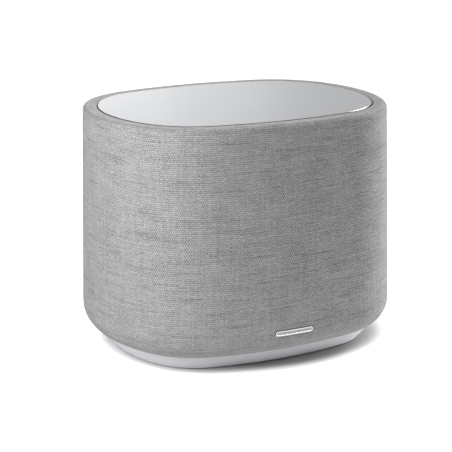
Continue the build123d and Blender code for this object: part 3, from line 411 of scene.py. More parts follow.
def wound_wire(name, base, direction="Z", scale=700.0):
    """Enamelled wire laid turn by turn."""
    graph = Graph(name)
    turns = graph.wave(scale, direction)
    slow = graph.noise(160.0, detail=2.0)
    # Darker between the turns: painted shade in the grooves between the wires.
    return graph.surface(
        Base_Color=graph.mix(turns, [c * 0.3 for c in base], graph.shade(base, slow, 0.2)),
        Metallic=1.0,
        Roughness=0.32,
        Normal=graph.bump(turns, 0.00025),
    )


def laminations(name, base, direction="X"):
    """Stacked sheets under varnish."""
    graph = Graph(name)
    sheets = graph.wave(320.0, direction)
    rust = graph.range(graph.noise(140.0, detail=4.0), 0.5, 0.75)
    return graph.surface(
        Base_Color=graph.mix(rust, graph.shade(base, sheets, 0.35), (0.16, 0.10, 0.07)),
        Metallic=0.8,
        Roughness=0.45,
        Normal=graph.bump(sheets, 0.0002),
    )


def board(name, base):
    """Solder mask over etched tracks, with tinned pads between them."""
    graph = Graph(name)
    x, y, z = graph.parts(graph.place)
    flat = graph.point(graph.math("ADD", x, graph.math("MULTIPLY", y, 0.35)), z)
    steps = graph.cells(170.0, graph.stretch(flat, (1, 1.6, 1)), feature="DISTANCE_TO_EDGE")
    tracks = graph.range(steps, 0.08, 0.11)
    pads = graph.range(graph.cells(330.0, flat), 0.13, 0.11)
    lacquer = graph.mix(tracks, [c * 1.7 for c in base], base)
    return graph.surface(
        Base_Color=graph.mix(pads, lacquer, (0.72, 0.70, 0.64)),
        Metallic=graph.math("MULTIPLY", pads, 0.9),
        Roughness=0.34,
        Normal=graph.bump(tracks, 0.00006, under=graph.bump(pads, 0.0001)),
    )


def ground_ferrite(name, base):
    """Dense ceramic with grinding marks."""
    graph = Graph(name)
    marks = graph.noise(500.0, graph.stretch(graph.place, (0.1, 1, 1), (0, 0, 0.5)), detail=4.0)
    grain = graph.cells(1800.0)
    return graph.surface(
        Base_Color=graph.shade(base, marks, 0.3),
        Roughness=graph.range(marks, 0.3, 0.7, 0.42, 0.6),
        Normal=graph.bump(grain, 0.00006, under=graph.bump(marks, 0.00003)),
    )


def braided(name, base):
    """Flat tinsel braid."""
    graph = Graph(name)
    one = graph.wave(900.0, "DIAGONAL")
    other = graph.wave(900.0, "DIAGONAL", graph.stretch(graph.place, (-1, 1, 1)))
    plait = graph.math("MAXIMUM", one, other)
    # Darker between the strands: painted shade in the gaps of the braid.
    return graph.surface(
        Base_Color=graph.mix(plait, [c * 0.35 for c in base], base),
        Metallic=1.0,
        Roughness=0.4,
        Normal=graph.bump(plait, 0.0002),
    )


def frosted_guide(name):
    """Clear plastic with a frosted end."""
    graph = Graph(name)
    frost = graph.noise(2400.0, detail=3.0)
    return graph.surface(
        Base_Color=graph.shade((0.80, 0.82, 0.84), frost, 0.05),
        Roughness=graph.range(frost, 0.3, 0.7, 0.25, 0.5),
        Transmission_Weight=0.55,
        IOR=1.49,
        Normal=graph.bump(frost, 0.00004),
    )


def shrink_sleeve(name, base):
    """Bare shrink film, tight and glossy, with faint pull lines."""
    graph = Graph(name)
    pull = graph.noise(260.0, graph.stretch(graph.place, (1, 1, 0.15)), detail=3.0)
    return graph.surface(
        Base_Color=graph.shade(base, pull, 0.2),
        Roughness=0.22,
        Coat_Weight=0.5,
        Coat_Roughness=0.12,
        Normal=graph.bump(pull, 0.00005),
    )


def woven(name, look, sizes):
    """Plain weave of melange yarn on the sleeve's own thread map, in metres round and up the body."""
    graph = Graph(name)
    thread = graph.add("ShaderNodeUVMap", uv_map="thread").outputs[0]
    u, v, _ = graph.parts(thread)
    warp = graph.math("DIVIDE", u, look.warp_pitch)
    weft = graph.math("DIVIDE", v, look.weft_pitch)
    warp_number, weft_number = graph.math("FLOOR", warp), graph.math("FLOOR", weft)
    warp_across = graph.math("PINGPONG", graph.math("MULTIPLY", graph.math("FRACT", warp), 2.0), 1.0)
    weft_across = graph.math("PINGPONG", graph.math("MULTIPLY", graph.math("FRACT", weft), 2.0), 1.0)
    odd = graph.math("PINGPONG", graph.math("ADD", warp_number, weft_number), 1.0)

    slow, knots, fibres = 11.0, 48.0, 900.0  # changes to a metre of thread

    def yarn(number, along, seed, slub):
        """Shade of one thread: its own slow tone, thick places along it and fibres that run with it."""
        row = graph.math("ADD", graph.math("MULTIPLY", number, 7.31), seed)
        tone = graph.noise(1.0, graph.point(graph.math("MULTIPLY", along, slow), row), detail=1.0)
        thick = graph.noise(1.0, graph.point(graph.math("MULTIPLY", along, knots), row, 3.7), detail=1.0)
        fibre = graph.noise(1.0, graph.point(graph.math("MULTIPLY", along, fibres), row, 9.1), detail=2.0)
        thick = graph.math("MULTIPLY", graph.math("SUBTRACT", graph.range(thick, 0.35, 0.65), 0.5), slub)
        mixed = graph.math("ADD", graph.math("MULTIPLY", graph.math("SUBTRACT", tone, 0.5), 1.5), thick)
        return graph.math("ADD", mixed, graph.math("MULTIPLY", graph.math("SUBTRACT", fibre, 0.5), 1.0))

    warp_yarn = graph.math("MULTIPLY", yarn(warp_number, v, 0.37, look.slub * 0.5), 1.2)
    weft_yarn = yarn(weft_number, u, 51.9, look.slub)
    top_yarn = graph.range(odd, 0.0, 1.0, warp_yarn, weft_yarn)
    ply_number = graph.math("FLOOR", graph.math("MULTIPLY", weft, 2.0))
    crossing = graph.add("ShaderNodeTexWhiteNoise", noise_dimensions="2D")
    graph.feed(crossing.inputs["Vector"], graph.point(warp_number, ply_number))
    speckle = graph.range(crossing.outputs["Value"], 0.0, 1.0, -look.speckle, look.speckle)
    checker = graph.range(odd, 0.0, 1.0, -look.checker / 2, look.checker / 2)
    along_strand, strand_row = graph.math("MULTIPLY", u, 20.0), graph.math("MULTIPLY", ply_number, 5.37)
    strand = graph.noise(1.0, graph.point(along_strand, strand_row), detail=0.0)
    dark_strand = graph.range(strand, 0.60, 0.72, 0.0, look.strand)
    patches = graph.noise(28.0, graph.point(u, graph.math("MULTIPLY", v, 2.0)), detail=3.0)
    # Paler towards the lower edge: painted light, standing in for light from the floor below.
    hem = graph.range(v, 0.006, 0.032, 1.0, 0.0, smooth=True)
    from_seam = graph.math("MINIMUM", u, graph.math("SUBTRACT", girth(sizes), u))
    stitch = graph.math("SINE", graph.math("MULTIPLY", v, 2 * math.pi / 0.0032))
    seam = graph.math("MULTIPLY", graph.range(from_seam, 0.0004, 0.0013, 1.0, 0.0),
                      graph.range(stitch, -0.6, 0.2, 0.55, 1.0))
    level = graph.math("ADD", graph.math("MULTIPLY", top_yarn, 0.27), 0.5)
    for share_of_level in (speckle, checker, graph.math("MULTIPLY", dark_strand, -1.0)):
        level = graph.math("ADD", level, share_of_level)
    level = graph.math("ADD", level, graph.math("MULTIPLY", graph.math("SUBTRACT", patches, 0.5), 0.25))
    level = graph.math("ADD", level, graph.math("MULTIPLY", hem, 0.10))
    level = graph.math("ADD", level, graph.math("MULTIPLY", seam, look.seam))
    crown_warp = graph.math("MULTIPLY", warp_across, graph.range(weft_across, 0.0, 1.0, 0.35, 1.0))
    crown_weft = graph.math("MULTIPLY", weft_across, graph.range(warp_across, 0.0, 1.0, 0.35, 1.0))
    crown = graph.math("SQRT", graph.range(odd, 0.0, 1.0, crown_warp, crown_weft))
    # Darker where the threads dip between crossings: painted shade in the hollows of the weave.
    hollow_shade = graph.range(crown, 0.15, 0.75, 0.45, 1.0)
    tone = graph.mix(level, list(look.dark), list(look.light))
    fuzz = graph.noise(3200.0, detail=2.0)
    height = graph.math("ADD", crown, graph.math("MULTIPLY", top_yarn, 0.35))
    height = graph.math("ADD", height, graph.math("MULTIPLY", fuzz, 0.25))
    height = graph.math("ADD", height, graph.math("MULTIPLY", seam, -0.8))
    return graph.surface(
        Base_Color=graph.mix(1.0, tone, graph.mix(hollow_shade, (0, 0, 0), (1, 1, 1)), blend="MULTIPLY"),
        Roughness=0.9,
        Specular_IOR_Level=0.1,
        Sheen_Weight=0.06,
        Sheen_Roughness=0.5,
        Normal=graph.bump(height, look.relief),
    )


# ---- shapes --------------------------------------------------------------------------------------------


def once(things):
    """Each thing once, in the order in which it first comes."""
    return list(dict.fromkeys(things))


def new_piece(name, bm, material, body, smooth=True):
    """Makes a mesh piece that rides on one of the frame's bodies."""
    for face in bm.faces:
        face.smooth = smooth
    mesh = bpy.data.meshes.new(name)
    bm.to_mesh(mesh)
    bm.free()
    piece = bpy.data.objects.new(name, mesh)
    bpy.context.scene.collection.objects.link(piece)
    mesh.materials.append(material)
    if body:
        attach(piece, body)
    return piece


def outline_arcs(sizes):
    """The arcs round the body, from the seam anticlockwise: centre, radius, start and end angle."""
    end_x = sizes.width / 2 - sizes.end_radius
    back_y = sizes.depth / 2 - sizes.front_radius
    to_back = sizes.front_radius - sizes.corner_radius
    to_end = sizes.end_radius - sizes.corner_radius
    span = math.hypot(end_x, back_y)
    along = (to_back**2 - to_end**2 + span**2) / (2 * span)
    across = math.sqrt(to_back**2 - along**2)
    ux, uy = end_x / span, -back_y / span
    cx, cy = ux * along + uy * across, back_y + uy * along - ux * across
    end_turn = math.atan2(cy, cx - end_x)
    back_turn = math.atan2(cy - back_y, cx)
    half, whole = math.pi, 2 * math.pi
    seam = sizes.seam_angle
    return [
        ((-end_x, 0), sizes.end_radius, seam, half + end_turn),
        ((-cx, -cy), sizes.corner_radius, half + end_turn, half + back_turn),
        ((0, -back_y), sizes.front_radius, half + back_turn, whole - back_turn),
        ((cx, -cy), sizes.corner_radius, whole - back_turn, whole - end_turn),
        ((end_x, 0), sizes.end_radius, whole - end_turn, whole + end_turn),
        ((cx, cy), sizes.corner_radius, whole + end_turn, whole + back_turn),
        ((0, back_y), sizes.front_radius, whole + back_turn, whole + half - back_turn),
        ((-cx, cy), sizes.corner_radius, whole + half - back_turn, whole + half - end_turn),
        ((-end_x, 0), sizes.end_radius, whole + half - end_turn, whole + seam),
    ]


def girth(sizes):
    return sum(radius * (stop - start) for _, radius, start, stop in outline_arcs(sizes))


def arc(bm, vert, centre, turn, steps):
    """Draws an arc from a vertex in the plane of the profile and returns its end."""
    made = bmesh.ops.spin(
        bm, geom=[vert], cent=(centre[0], 0, centre[1]), axis=(0, 1, 0), angle=turn, steps=steps,
        use_merge=False, use_duplicate=False,
    )
    return next(v for v in made["geom_last"] if isinstance(v, bmesh.types.BMVert))


def run(bm, vert, end, steps=1):
    """Draws a straight run from a vertex to a point of the profile and returns its end."""
    step = (Vector((end[0], 0, end[1])) - vert.co) / steps
    made = bmesh.ops.spin(
        bm, geom=[vert], cent=(0, 0, 0), axis=(0, 1, 0), dvec=step, angle=0, steps=steps,
        use_merge=False, use_duplicate=False,
    )
    return next(v for v in made["geom_last"] if isinstance(v, bmesh.types.BMVert))


def sleeve_profile(bm, sizes):
    """The sleeve's section, from the end of its hem up the wall and over the rim, at x = -inset."""
    turn = math.asin((sizes.widest - sizes.hem_height) / sizes.lower_radius)
    lip_x = -sizes.lower_radius * (1 - math.cos(turn))
    lip_z = sizes.hem_height
    first = bm.verts.new((lip_x - sizes.hem, 0, lip_z))
    last = run(bm, first, (lip_x, lip_z), 2)
    last = arc(bm, last, (-sizes.lower_radius, sizes.widest), -turn, 10)
    outer = (-sizes.draft - sizes.rim_outer, sizes.crest - sizes.rim_outer)
    inner = (sizes.rim_inner - sizes.tuck_inset, sizes.crest - sizes.rim_inner)
    last = run(bm, last, (-sizes.draft, outer[1]), 16)
    last = arc(bm, last, outer, -math.pi / 2, 8)
    last = run(bm, last, (inner[0], sizes.crest), 2)
    last = arc(bm, last, inner, -math.pi / 2, 7)
    run(bm, last, (-sizes.tuck_inset, sizes.crest - sizes.tuck), 1)
    bmesh.ops.remove_doubles(bm, verts=[v for v in bm.verts if not v.link_faces], dist=1e-6)
    return first


def measure_profile(first, layer):
    """Writes how far along the profile each of its vertices lies."""
    seen, here, far = {first}, first, 0.0
    first[layer] = 0.0
    while True:
        ahead = [e.other_vert(here) for e in here.link_edges if e.other_vert(here) not in seen]
        if not ahead:
            return far
        far += (ahead[0].co - here.co).length
        here = ahead[0]
        here[layer] = far
        seen.add(here)


class SPEAKER_OT_woven_sleeve(bpy.types.Operator):
    """Builds the woven sleeve, from its turned-in hem to its tuck beside the top plate"""

    bl_idname = "speaker.woven_sleeve"
    bl_label = "Woven sleeve"

    def execute(self, context):
        sizes, look = context.scene.speaker_sleeve, context.scene.speaker_weave
        bm = bmesh.new()
        layer = bm.verts.layers.float.new("profile")
        thread = bm.loops.layers.uv.new("thread")
        passed, height = 0.0, 0.0
        for centre, radius, start, stop in outline_arcs(sizes):
            old_verts, old_faces = set(bm.verts), set(bm.faces)
            place = Matrix.Translation((*centre, 0)) @ Matrix.Rotation(start, 4, "Z")
            height = self.add_section(bm, sizes, place @ Matrix.Translation((radius, 0, 0)))
            new_verts = [v for v in bm.verts if v not in old_verts]
            new_edges = once(e for v in new_verts for e in v.link_edges)
            steps = max(4, round(math.degrees(stop - start) / 2.1))
            bmesh.ops.spin(
                bm, geom=new_verts + new_edges, cent=(*centre, 0), axis=(0, 0, 1), angle=stop - start,
                steps=steps, use_merge=False, use_duplicate=False,
            )
            for face in bm.faces:
                if face in old_faces:
                    continue
                for loop in face.loops:
                    away = loop.vert.co - Vector((*centre, 0))
                    turn = (math.atan2(away.y, away.x) - start + math.pi) % (2 * math.pi) - math.pi
                    loop[thread].uv = (passed + radius * max(turn, 0.0), loop.vert[layer])
            passed += radius * (stop - start)
        bmesh.ops.remove_doubles(bm, verts=bm.verts, dist=2e-5)
        self.cut_rear_opening(bm, sizes)
        bmesh.ops.recalc_face_normals(bm, faces=bm.faces)
        if max(bm.faces, key=lambda f: f.calc_center_median().x).normal.x < 0:
            bmesh.ops.reverse_faces(bm, faces=bm.faces)
        piece = new_piece("woven_sleeve", bm, woven("woven_melange", look, sizes).material, "speaker_body")
        wall = piece.modifiers.new("wall", "SOLIDIFY")
        wall.thickness, wall.offset, wall.use_even_offset = sizes.thickness, -1, True
        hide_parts("fabric_sleeve")
        return {"FINISHED"}

    def add_section(self, bm, sizes, place):
        """Adds the sleeve's section at a place and returns its length."""
        section = bmesh.new()
        layer = section.verts.layers.float.new("profile")
        height = measure_profile(sleeve_profile(section, sizes), layer)
        bmesh.ops.transform(section, verts=section.verts, matrix=place)
        copy = bpy.data.meshes.new("section")
        section.to_mesh(copy)
        section.free()
        bm.from_mesh(copy)
        bpy.data.meshes.remove(copy)
        return height

    def cut_rear_opening(self, bm, sizes):
        """Cuts the opening that the bezel's lap covers, with its corners taken off."""
        middle = (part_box("rear_bezel")[0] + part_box("rear_bezel")[1]) / 2
        half_x, half_z = sizes.opening_width / 2, sizes.opening_height / 2
        corner = Vector((half_x - sizes.opening_corner / 2, 0, half_z - sizes.opening_corner / 2))
        cuts = [(Vector((s * half_x, 0, 0)), Vector((s, 0, 0))) for s in (-1, 1)]
        cuts += [(Vector((0, 0, s * half_z)), Vector((0, 0, s))) for s in (-1, 1)]
        cuts += [
            (Vector((sx * corner.x, 0, sz * corner.z)), Vector((sx, 0, sz)).normalized())
            for sx in (-1, 1) for sz in (-1, 1)
        ]
        centre = Vector((middle.x, 0, middle.z))
        margin = 0.02
        back = 0.09

        def near(face):
            place = face.calc_center_median() - centre
            return place.y > back and abs(place.x) < half_x + margin and abs(place.z) < half_z + margin

        for point, away in cuts:
            faces = [f for f in bm.faces if near(f)]
            edges = once(e for f in faces for e in f.edges)
            verts = once(v for f in faces for v in f.verts)
            geometry = faces + edges + verts
            bmesh.ops.bisect_plane(bm, geom=geometry, dist=1e-6, plane_co=centre + point, plane_no=away)
        inside = [
            f for f in bm.faces
            if near(f) and all((f.calc_center_median() - centre - p).dot(n) < 0 for p, n in cuts)
        ]
        bmesh.ops.delete(bm, geom=inside, context="FACES")


class SPEAKER_OT_top_plate(bpy.types.Operator):
    """Finishes the satin top plate, its side painted dark as shade, and its polished edge"""

    bl_idname = "speaker.top_plate"
    bl_label = "Top plate"

    def execute(self, context):
        colours = context.scene.speaker_colours
        graph = dress(satin_metal("satin_plate", list(colours.plate), 0.48, (1, 1, 1)), "top_plate")
        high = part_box("top_plate")[1]
        height = graph.parts(graph.place)[2]
        chamfer, blur = 0.0003, 0.00001
        # The side below the chamfer is painted dark and not metallic: painted shade for the shadowed groove
        # beside the rim.
        side = graph.range(height, high.z - chamfer - blur, high.z - chamfer + blur, 1.0, 0.0)
        face = graph.shader.inputs["Base Color"].links[0].from_socket
        sheen = graph.shader.inputs["Roughness"].links[0].from_socket
        edge = graph.range(height, high.z - 2 * blur, high.z - blur, 0.16, sheen)
        graph.surface(
            Base_Color=graph.mix(side, face, list(colours.plate_side_shade)),
            Metallic=graph.range(side, 0.0, 1.0, 1.0, 0.0),
            Roughness=edge,
        )
        return {"FINISHED"}


class SPEAKER_OT_badge(bpy.types.Operator):
    """Finishes the bare polished badge"""

    bl_idname = "speaker.badge"
    bl_label = "Badge"

    def execute(self, context):
        colours = context.scene.speaker_colours
        graph = dress(satin_metal("badge_metal", list(colours.badge_field), 0.34, (0.05, 1, 1)), "badge")
        low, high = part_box("badge")
        radius = (high.z - low.z) / 2
        rim_width, shade_band_width = 0.0015, 0.00035
        x, _, z = graph.parts(graph.place)
        beyond = graph.math("SUBTRACT", graph.math("ABSOLUTE", x), high.x - radius)
        rise = graph.math("SUBTRACT", z, (low.z + high.z) / 2)
        out = graph.hypotenuse(graph.math("MAXIMUM", beyond, 0.0), rise)
        rim = graph.range(out, radius - rim_width - 0.0001, radius - rim_width + 0.0001)
        # A thin near-black band round the badge's side: painted shade for the gap between badge and fabric.
        side = graph.range(out, radius - shade_band_width - 0.00005, radius - shade_band_width + 0.00005)
        face = graph.shader.inputs["Base Color"].links[0].from_socket
        satin = graph.shader.inputs["Roughness"].links[0].from_socket
        brushed = graph.shader.inputs["Normal"].links[0].from_socket
        graph.surface(
            Base_Color=graph.mix(side, graph.mix(rim, face, list(colours.badge_rim)), (0.06, 0.06, 0.065)),
            Roughness=graph.range(rim, 0.0, 1.0, satin, 0.14),
            Normal=graph.bump(rim, 0.0004, under=brushed),
        )
        return {"FINISHED"}


class SPEAKER_OT_base(bpy.types.Operator):
    """Finishes the base ring, the pan and the rubber foot under them"""

    bl_idname = "speaker.base"
    bl_label = "Base"

    def execute(self, context):
        colours = context.scene.speaker_colours
        dress(moulded("pale_moulding", list(colours.base), 0.42, 2600.0, 0.000012), "base_ring")
        dress(moulded("base_pan_moulding", list(colours.dark_plastic), 0.55), "base_pan")
        dress(soft_rubber("foot_rubber", list(colours.rubber)), "foot_ring")
        dress(satin_metal("base_screw_zinc", (0.55, 0.55, 0.56), 0.3), "base_screws")
        return {"FINISHED"}


class SPEAKER_OT_rear_connections(bpy.types.Operator):
    """Finishes the rear bezel, its panel, the mains inlet, the connect button and the service port"""

    bl_idname = "speaker.rear_connections"
    bl_label = "Rear connections"

    def execute(self, context):
        colours = context.scene.speaker_colours
        dress(moulded("bezel_satin", list(colours.bezel), 0.45, 2200.0, 0.00002), "rear_bezel")
        dress(moulded("panel_grain", list(colours.panel), 0.55, 1100.0, 0.00008), "service_plate")
        dress(coated_metal("panel_screw_oxide", (0.03, 0.03, 0.032), 0.35, 0.8), "panel_screws")
        dress(moulded("inlet_moulding", (0.012, 0.012, 0.013), 0.4, 1800.0, 0.00003), "mains_inlet")
        dress(satin_metal("inlet_pin_plating", (0.80, 0.74, 0.58), 0.22, (1, 0.1, 1)), "inlet_pins")
        dress(moulded("button_satin", list(colours.button), 0.38, 2400.0, 0.00002), "connect_button")
        dress(moulded("plunger_moulding", (0.03, 0.03, 0.032), 0.5), "switch_plunger")
        dress(frosted_guide("light_guide"), "status_light_guide")
        dress(satin_metal("port_shell_tin", (0.68, 0.68, 0.69), 0.25, (1, 0.2, 1)), "service_port")
        dress(satin_metal("switch_can_tin", (0.62, 0.62, 0.63), 0.3), "tact_switch")
        dress(board("control_mask", (0.012, 0.07, 0.03)), "control_board")
        return {"FINISHED"}


class SPEAKER_OT_driver(bpy.types.Operator):
    """Finishes the driver: basket, motor, cone, surround and spider"""

    bl_idname = "speaker.driver"
    bl_label = "Driver"

    def execute(self, context):
        dress(coated_metal("basket_coat", (0.02, 0.02, 0.022), 0.5), "driver_basket")
        dress(satin_metal("plate_passivated", (0.30, 0.30, 0.31), 0.4), "front_pole_plate")
        dress(satin_metal("yoke_passivated", (0.28, 0.28, 0.30), 0.42), "back_plate")
        dress(ground_ferrite("ferrite", (0.03, 0.03, 0.032)), "ring_magnet")
        dress(pulp("cone_pulp", (0.022, 0.022, 0.023)), "cone")
        dress(pulp("cap_pulp", (0.018, 0.018, 0.019), 3000.0), "dust_cap")
        dress(soft_rubber("surround_rubber", (0.014, 0.014, 0.015), 0.6), "surround")
        dress(resin_cloth("spider_cloth", (0.55, 0.36, 0.12)), "spider")
        dress(resin_cloth("former_wrap", (0.42, 0.24, 0.08)), "voice_coil_former")
        dress(wound_wire("coil_wire", (0.62, 0.26, 0.10)), "voice_coil")
        dress(braided("tinsel_braid", (0.60, 0.36, 0.18)), "tinsel_leads")
        dress(board("terminal_laminate", (0.10, 0.045, 0.015)), "driver_terminals")
        dress(coated_metal("driver_screw_oxide", (0.03, 0.03, 0.032), 0.35, 0.8), "driver_screws")
        dress(open_foam("driver_seal_foam", (0.03, 0.03, 0.03)), "driver_gasket")
        return {"FINISHED"}


class SPEAKER_OT_cabinet(bpy.types.Operator):
    """Finishes the cabinet, its frame, tray, ports, seals, wadding and screws"""

    bl_idname = "speaker.cabinet"
    bl_label = "Cabinet"

    def execute(self, context):
        dark = list(context.scene.speaker_colours.dark_plastic)
        dress(moulded("frame_moulding", dark, 0.55), "grille_frame")
        dress(moulded("tray_moulding", dark, 0.6, 1200.0, 0.00006), "top_tray")
        dress(moulded("tub_moulding", dark, 0.5, 900.0, 0.00008), "cabinet_tub")
        dress(moulded("floor_moulding", dark, 0.58, 900.0, 0.00008), "cabinet_floor")
        dress(moulded("port_moulding", dark, 0.4), "port_tube_left", "port_tube_right")
        dress(open_foam("plate_tape", (0.04, 0.04, 0.042)), "plate_foam")
        dress(open_foam("cabinet_seal_foam", (0.03, 0.03, 0.03)), "cabinet_gasket")
        dress(loose_felt("wadding_fibre", (0.34, 0.33, 0.30)), "damping_wadding")
        dress(satin_metal("screw_zinc", (0.55, 0.55, 0.56), 0.3), "tray_screws", "cabinet_screws")
        dress(satin_metal("clip_spring_steel", (0.45, 0.45, 0.46), 0.3), "badge_clips")
        return {"FINISHED"}


class SPEAKER_OT_electronics(bpy.types.Operator):
    """Finishes the amplifier, its supply, the radio module and every lead"""

    bl_idname = "speaker.electronics"
    bl_label = "Electronics"

    def execute(self, context):
        dress(board("amp_mask", (0.01, 0.06, 0.03)), "amp_board")
        dress(board("radio_mask", (0.01, 0.03, 0.10)), "wireless_module")
        dress(board("antenna_mask", (0.015, 0.015, 0.017)), "antenna")
        dress(satin_metal("sink_anodised", (0.50, 0.51, 0.53), 0.42, (1, 1, 0.06)), "heat_sink")
        dress(laminations("core_sheets", (0.20, 0.19, 0.18)), "transformer_core")
        dress(wound_wire("winding_wire", (0.58, 0.24, 0.09), "X", 420.0), "transformer_winding")
        dress(shrink_sleeve("can_film", (0.02, 0.03, 0.07)), "filter_capacitors")
        dress(satin_metal("board_screw_zinc", (0.55, 0.55, 0.56), 0.3), "board_screws")
        dress(soft_rubber("lead_jacket_black", (0.02, 0.02, 0.021), 0.5), "mains_leads")
        dress(soft_rubber("lead_jacket_red", (0.16, 0.02, 0.02), 0.5), "driver_lead")
        dress(soft_rubber("lead_jacket_grey", (0.10, 0.10, 0.11), 0.5), "control_lead", "antenna_lead")
        return {"FINISHED"}


class SPEAKER_OT_studio(bpy.types.Operator):
    """Sets the pale floor, the soft lamps, the world and the camera"""

    bl_idname = "speaker.studio"
    bl_label = "Studio"

    def execute(self, context):
        look, scene = context.scene.speaker_studio, context.scene
        scene.view_settings.view_transform = "Standard"
        self.lay_floor(look)
        self.light_world(scene, look)
        size = look.panel_size
        self.hang_panel("key", look.key, Vector((-0.76, -0.34, 0.60)), Vector((-0.05, 0.0, 0.14)), size)
        self.hang_sun("rim", look.rim, turn=8, rise=18, spread=34)
        self.hang_sun("glint", look.glint, turn=7, rise=38, spread=12)
        plate_middle = Vector((0, 0, 0.27))
        for x in (-0.02, 0.15):
            self.hang_panel("plate_wash", look.wash, Vector((x, 0.78, 0.50)), plate_middle, size)
        self.set_camera(scene, look)
        return {"FINISHED"}

    def lay_floor(self, look):
        """Lays a floor that shines white to the camera, except round the base, where a painted shadow
        darkens it for the camera and the lamps' own shadow shows.
        """
        graph = Graph("pale_floor")
        x, y, _ = graph.parts(graph.place)
        far_x = graph.math("DIVIDE", graph.math("SUBTRACT", x, look.shade_shift), cad_box[1].x)
        far_y = graph.math("DIVIDE", graph.math("ADD", y, look.shade_shift), cad_box[1].y)
        away = graph.hypotenuse(far_x, far_y)  # 1 is about the body's own outline
        contact = graph.add("ShaderNodeAmbientOcclusion", samples=16)
        graph.feed(contact.inputs["Distance"], look.contact)
        open_above = graph.range(contact.outputs["AO"], 0.30, 0.75)
        # The glow fades out near the base, along an outline shifted to the right and to the front and where
        # the floor is closed in above, so the shade round the base is partly painted.
        glow = graph.math("MULTIPLY", graph.range(away, 0.75, 0.94, 0.0, 0.8), open_above)
        mottle = graph.noise(6.0, detail=3.0)
        path = graph.add("ShaderNodeLightPath")
        near = graph.shade(list(look.floor), mottle, 0.01)
        plain = graph.mix(graph.range(away, 1.6, 3.2), near, list(look.far_floor))
        # Near the base, camera rays see the floor darkened towards the shadow colour: a painted shadow.
        shadow = graph.math("MULTIPLY", graph.range(away, 0.96, 0.72), path.outputs["Is Camera Ray"])
        graph.surface(
            Base_Color=graph.mix(shadow, plain, list(look.shadow)),
            Roughness=0.9,
            Specular_IOR_Level=0.1,
        )
        seen = graph.math("MAXIMUM", path.outputs["Is Camera Ray"], path.outputs["Is Glossy Ray"])
        seen = graph.math("MAXIMUM", seen, path.outputs["Is Transmission Ray"])
        emission = graph.add("ShaderNodeEmission")
        graph.feed(emission.inputs["Color"], (1, 1, 1))
        graph.feed(emission.inputs["Strength"], graph.math("MULTIPLY", glow, seen))
        added = graph.add("ShaderNodeAddShader")
        graph.feed(added.inputs[0], graph.shader.outputs[0])
        graph.feed(added.inputs[1], emission.outputs[0])
        graph.feed(graph.tree.nodes["Material Output"].inputs["Surface"], added.outputs[0])
        bm = bmesh.new()
        bmesh.ops.create_circle(bm, cap_ends=True, segments=96, radius=look.floor_radius)
        bmesh.ops.translate(bm, verts=bm.verts, vec=(0, 0, -0.0001))
        new_piece("floor", bm, graph.material, None, smooth=False)

    def light_world(self, scene, look):
        """Shows white to the camera, to gloss and through glass, and lights everything else evenly."""
        world = scene.world or bpy.data.worlds.new("studio")
        scene.world = world
        world.use_nodes = True
        tree = world.node_tree
        tree.nodes.clear()
        path = tree.nodes.new("ShaderNodeLightPath")
        first = tree.nodes.new("ShaderNodeMath")
        first.operation = "MAXIMUM"
        second = tree.nodes.new("ShaderNodeMath")
        second.operation = "MAXIMUM"
        tree.links.new(path.outputs["Is Camera Ray"], first.inputs[0])
        tree.links.new(path.outputs["Is Glossy Ray"], first.inputs[1])
        tree.links.new(first.outputs[0], second.inputs[0])
        tree.links.new(path.outputs["Is Transmission Ray"], second.inputs[1])
        fill = tree.nodes.new("ShaderNodeBackground")
        fill.inputs["Color"].default_value = (0.995, 0.995, 1.0, 1)
        fill.inputs["Strength"].default_value = look.fill
        white = tree.nodes.new("ShaderNodeBackground")
        white.inputs["Color"].default_value = (1, 1, 1, 1)
        white.inputs["Strength"].default_value = 1.0
        mix = tree.nodes.new("ShaderNodeMixShader")
        output = tree.nodes.new("ShaderNodeOutputWorld")
        tree.links.new(second.outputs[0], mix.inputs[0])
        tree.links.new(fill.outputs[0], mix.inputs[1])
        tree.links.new(white.outputs[0], mix.inputs[2])
        tree.links.new(mix.outputs[0], output.inputs["Surface"])

    def hang_sun(self, name, strength, turn, rise, spread):
        """Lights from a direction: anticlockwise from the right end, and up from the floor, in degrees."""
        lamp = bpy.data.lights.new(name, "SUN")
        lamp.energy, lamp.angle = strength, math.radians(spread)
        holder = bpy.data.objects.new(name, lamp)
        bpy.context.scene.collection.objects.link(holder)
        turn, rise = math.radians(turn), math.radians(rise)
        away = Vector((math.cos(turn) * math.cos(rise), math.sin(turn) * math.cos(rise), math.sin(rise)))
        holder.location = away * 3
        holder.rotation_mode = "QUATERNION"
        holder.rotation_quaternion = (-away).to_track_quat("-Z", "Y")

    def hang_panel(self, name, power, place, aim, size):
        """Hangs a square panel of light at a place and turns it to a point."""
        lamp = bpy.data.lights.new(name, "AREA")
        lamp.energy, lamp.size = power, size
        holder = bpy.data.objects.new(name, lamp)
        bpy.context.scene.collection.objects.link(holder)
        holder.location = place
        holder.rotation_mode = "QUATERNION"
        holder.rotation_quaternion = (aim - place).to_track_quat("-Z", "Y")

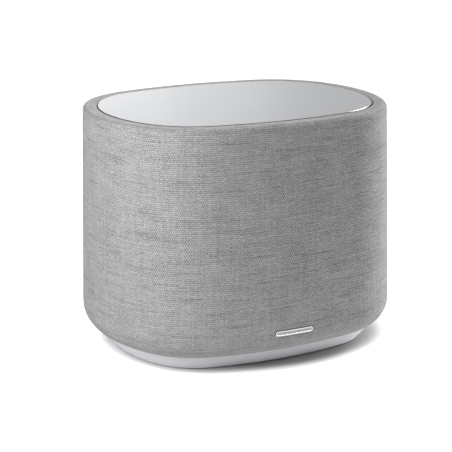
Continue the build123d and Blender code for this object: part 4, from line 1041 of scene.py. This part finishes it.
    def set_camera(self, scene, look):
        """Stands the camera off from a point over the origin and turns it."""
        middle = Vector((0, 0, look.aim_height))
        camera = bpy.data.objects.new("camera", bpy.data.cameras.new("camera"))
        scene.collection.objects.link(camera)
        back = Vector((
            math.sin(look.azimuth) * math.cos(look.elevation),
            -math.cos(look.azimuth) * math.cos(look.elevation),
            math.sin(look.elevation),
        ))
        ahead = Vector((
            -math.sin(look.yaw) * math.cos(look.pitch),
            math.cos(look.yaw) * math.cos(look.pitch),
            -math.sin(look.pitch),
        ))
        camera.location = middle + back * look.distance
        camera.rotation_mode = "QUATERNION"
        camera.rotation_quaternion = ahead.to_track_quat("-Z", "Y") @ Quaternion((0, 0, 1), look.roll)
        camera.data.lens = look.lens
        camera.data.sensor_width = 36.0
        camera.data.clip_start, camera.data.clip_end = 0.05, 50.0
        scene.camera = camera


class SPEAKER_PT_panel(bpy.types.Panel):
    bl_label = "Speaker"
    bl_idname = "SPEAKER_PT_panel"
    bl_space_type = "VIEW_3D"
    bl_region_type = "UI"
    bl_category = "Speaker"

    def draw(self, context):
        for title, group, steps in LAYOUT:
            box = self.layout.box()
            box.label(text=title)
            settings = getattr(context.scene, group)
            for name in settings.__annotations__:
                box.prop(settings, name)
            for step in steps:
                box.operator(step.bl_idname)


LAYOUT = [
    ("Sleeve", "speaker_sleeve", []),
    ("Weave", "speaker_weave", [SPEAKER_OT_woven_sleeve]),
    (
        "Finishes",
        "speaker_colours",
        [
            SPEAKER_OT_top_plate,
            SPEAKER_OT_badge,
            SPEAKER_OT_base,
            SPEAKER_OT_rear_connections,
            SPEAKER_OT_driver,
            SPEAKER_OT_cabinet,
            SPEAKER_OT_electronics,
        ],
    ),
    ("Studio", "speaker_studio", [SPEAKER_OT_studio]),
]
GROUPS = {
    "speaker_sleeve": SleeveSizes,
    "speaker_weave": WeaveLook,
    "speaker_colours": FinishColours,
    "speaker_studio": StudioLook,
}
STEPS = [step for _, _, steps in LAYOUT for step in steps]


def register():
    for each in [*GROUPS.values(), *STEPS, SPEAKER_PT_panel]:
        bpy.utils.register_class(each)
    for name, group in GROUPS.items():
        setattr(bpy.types.Scene, name, bpy.props.PointerProperty(type=group))


def unregister():
    for name in GROUPS:
        delattr(bpy.types.Scene, name)
    for each in reversed([*GROUPS.values(), *STEPS, SPEAKER_PT_panel]):
        bpy.utils.unregister_class(each)


def main():
    register()
    for step in STEPS:
        getattr(bpy.ops.speaker, step.bl_idname.split(".")[1])()


if __name__ == "__main__":
    main()
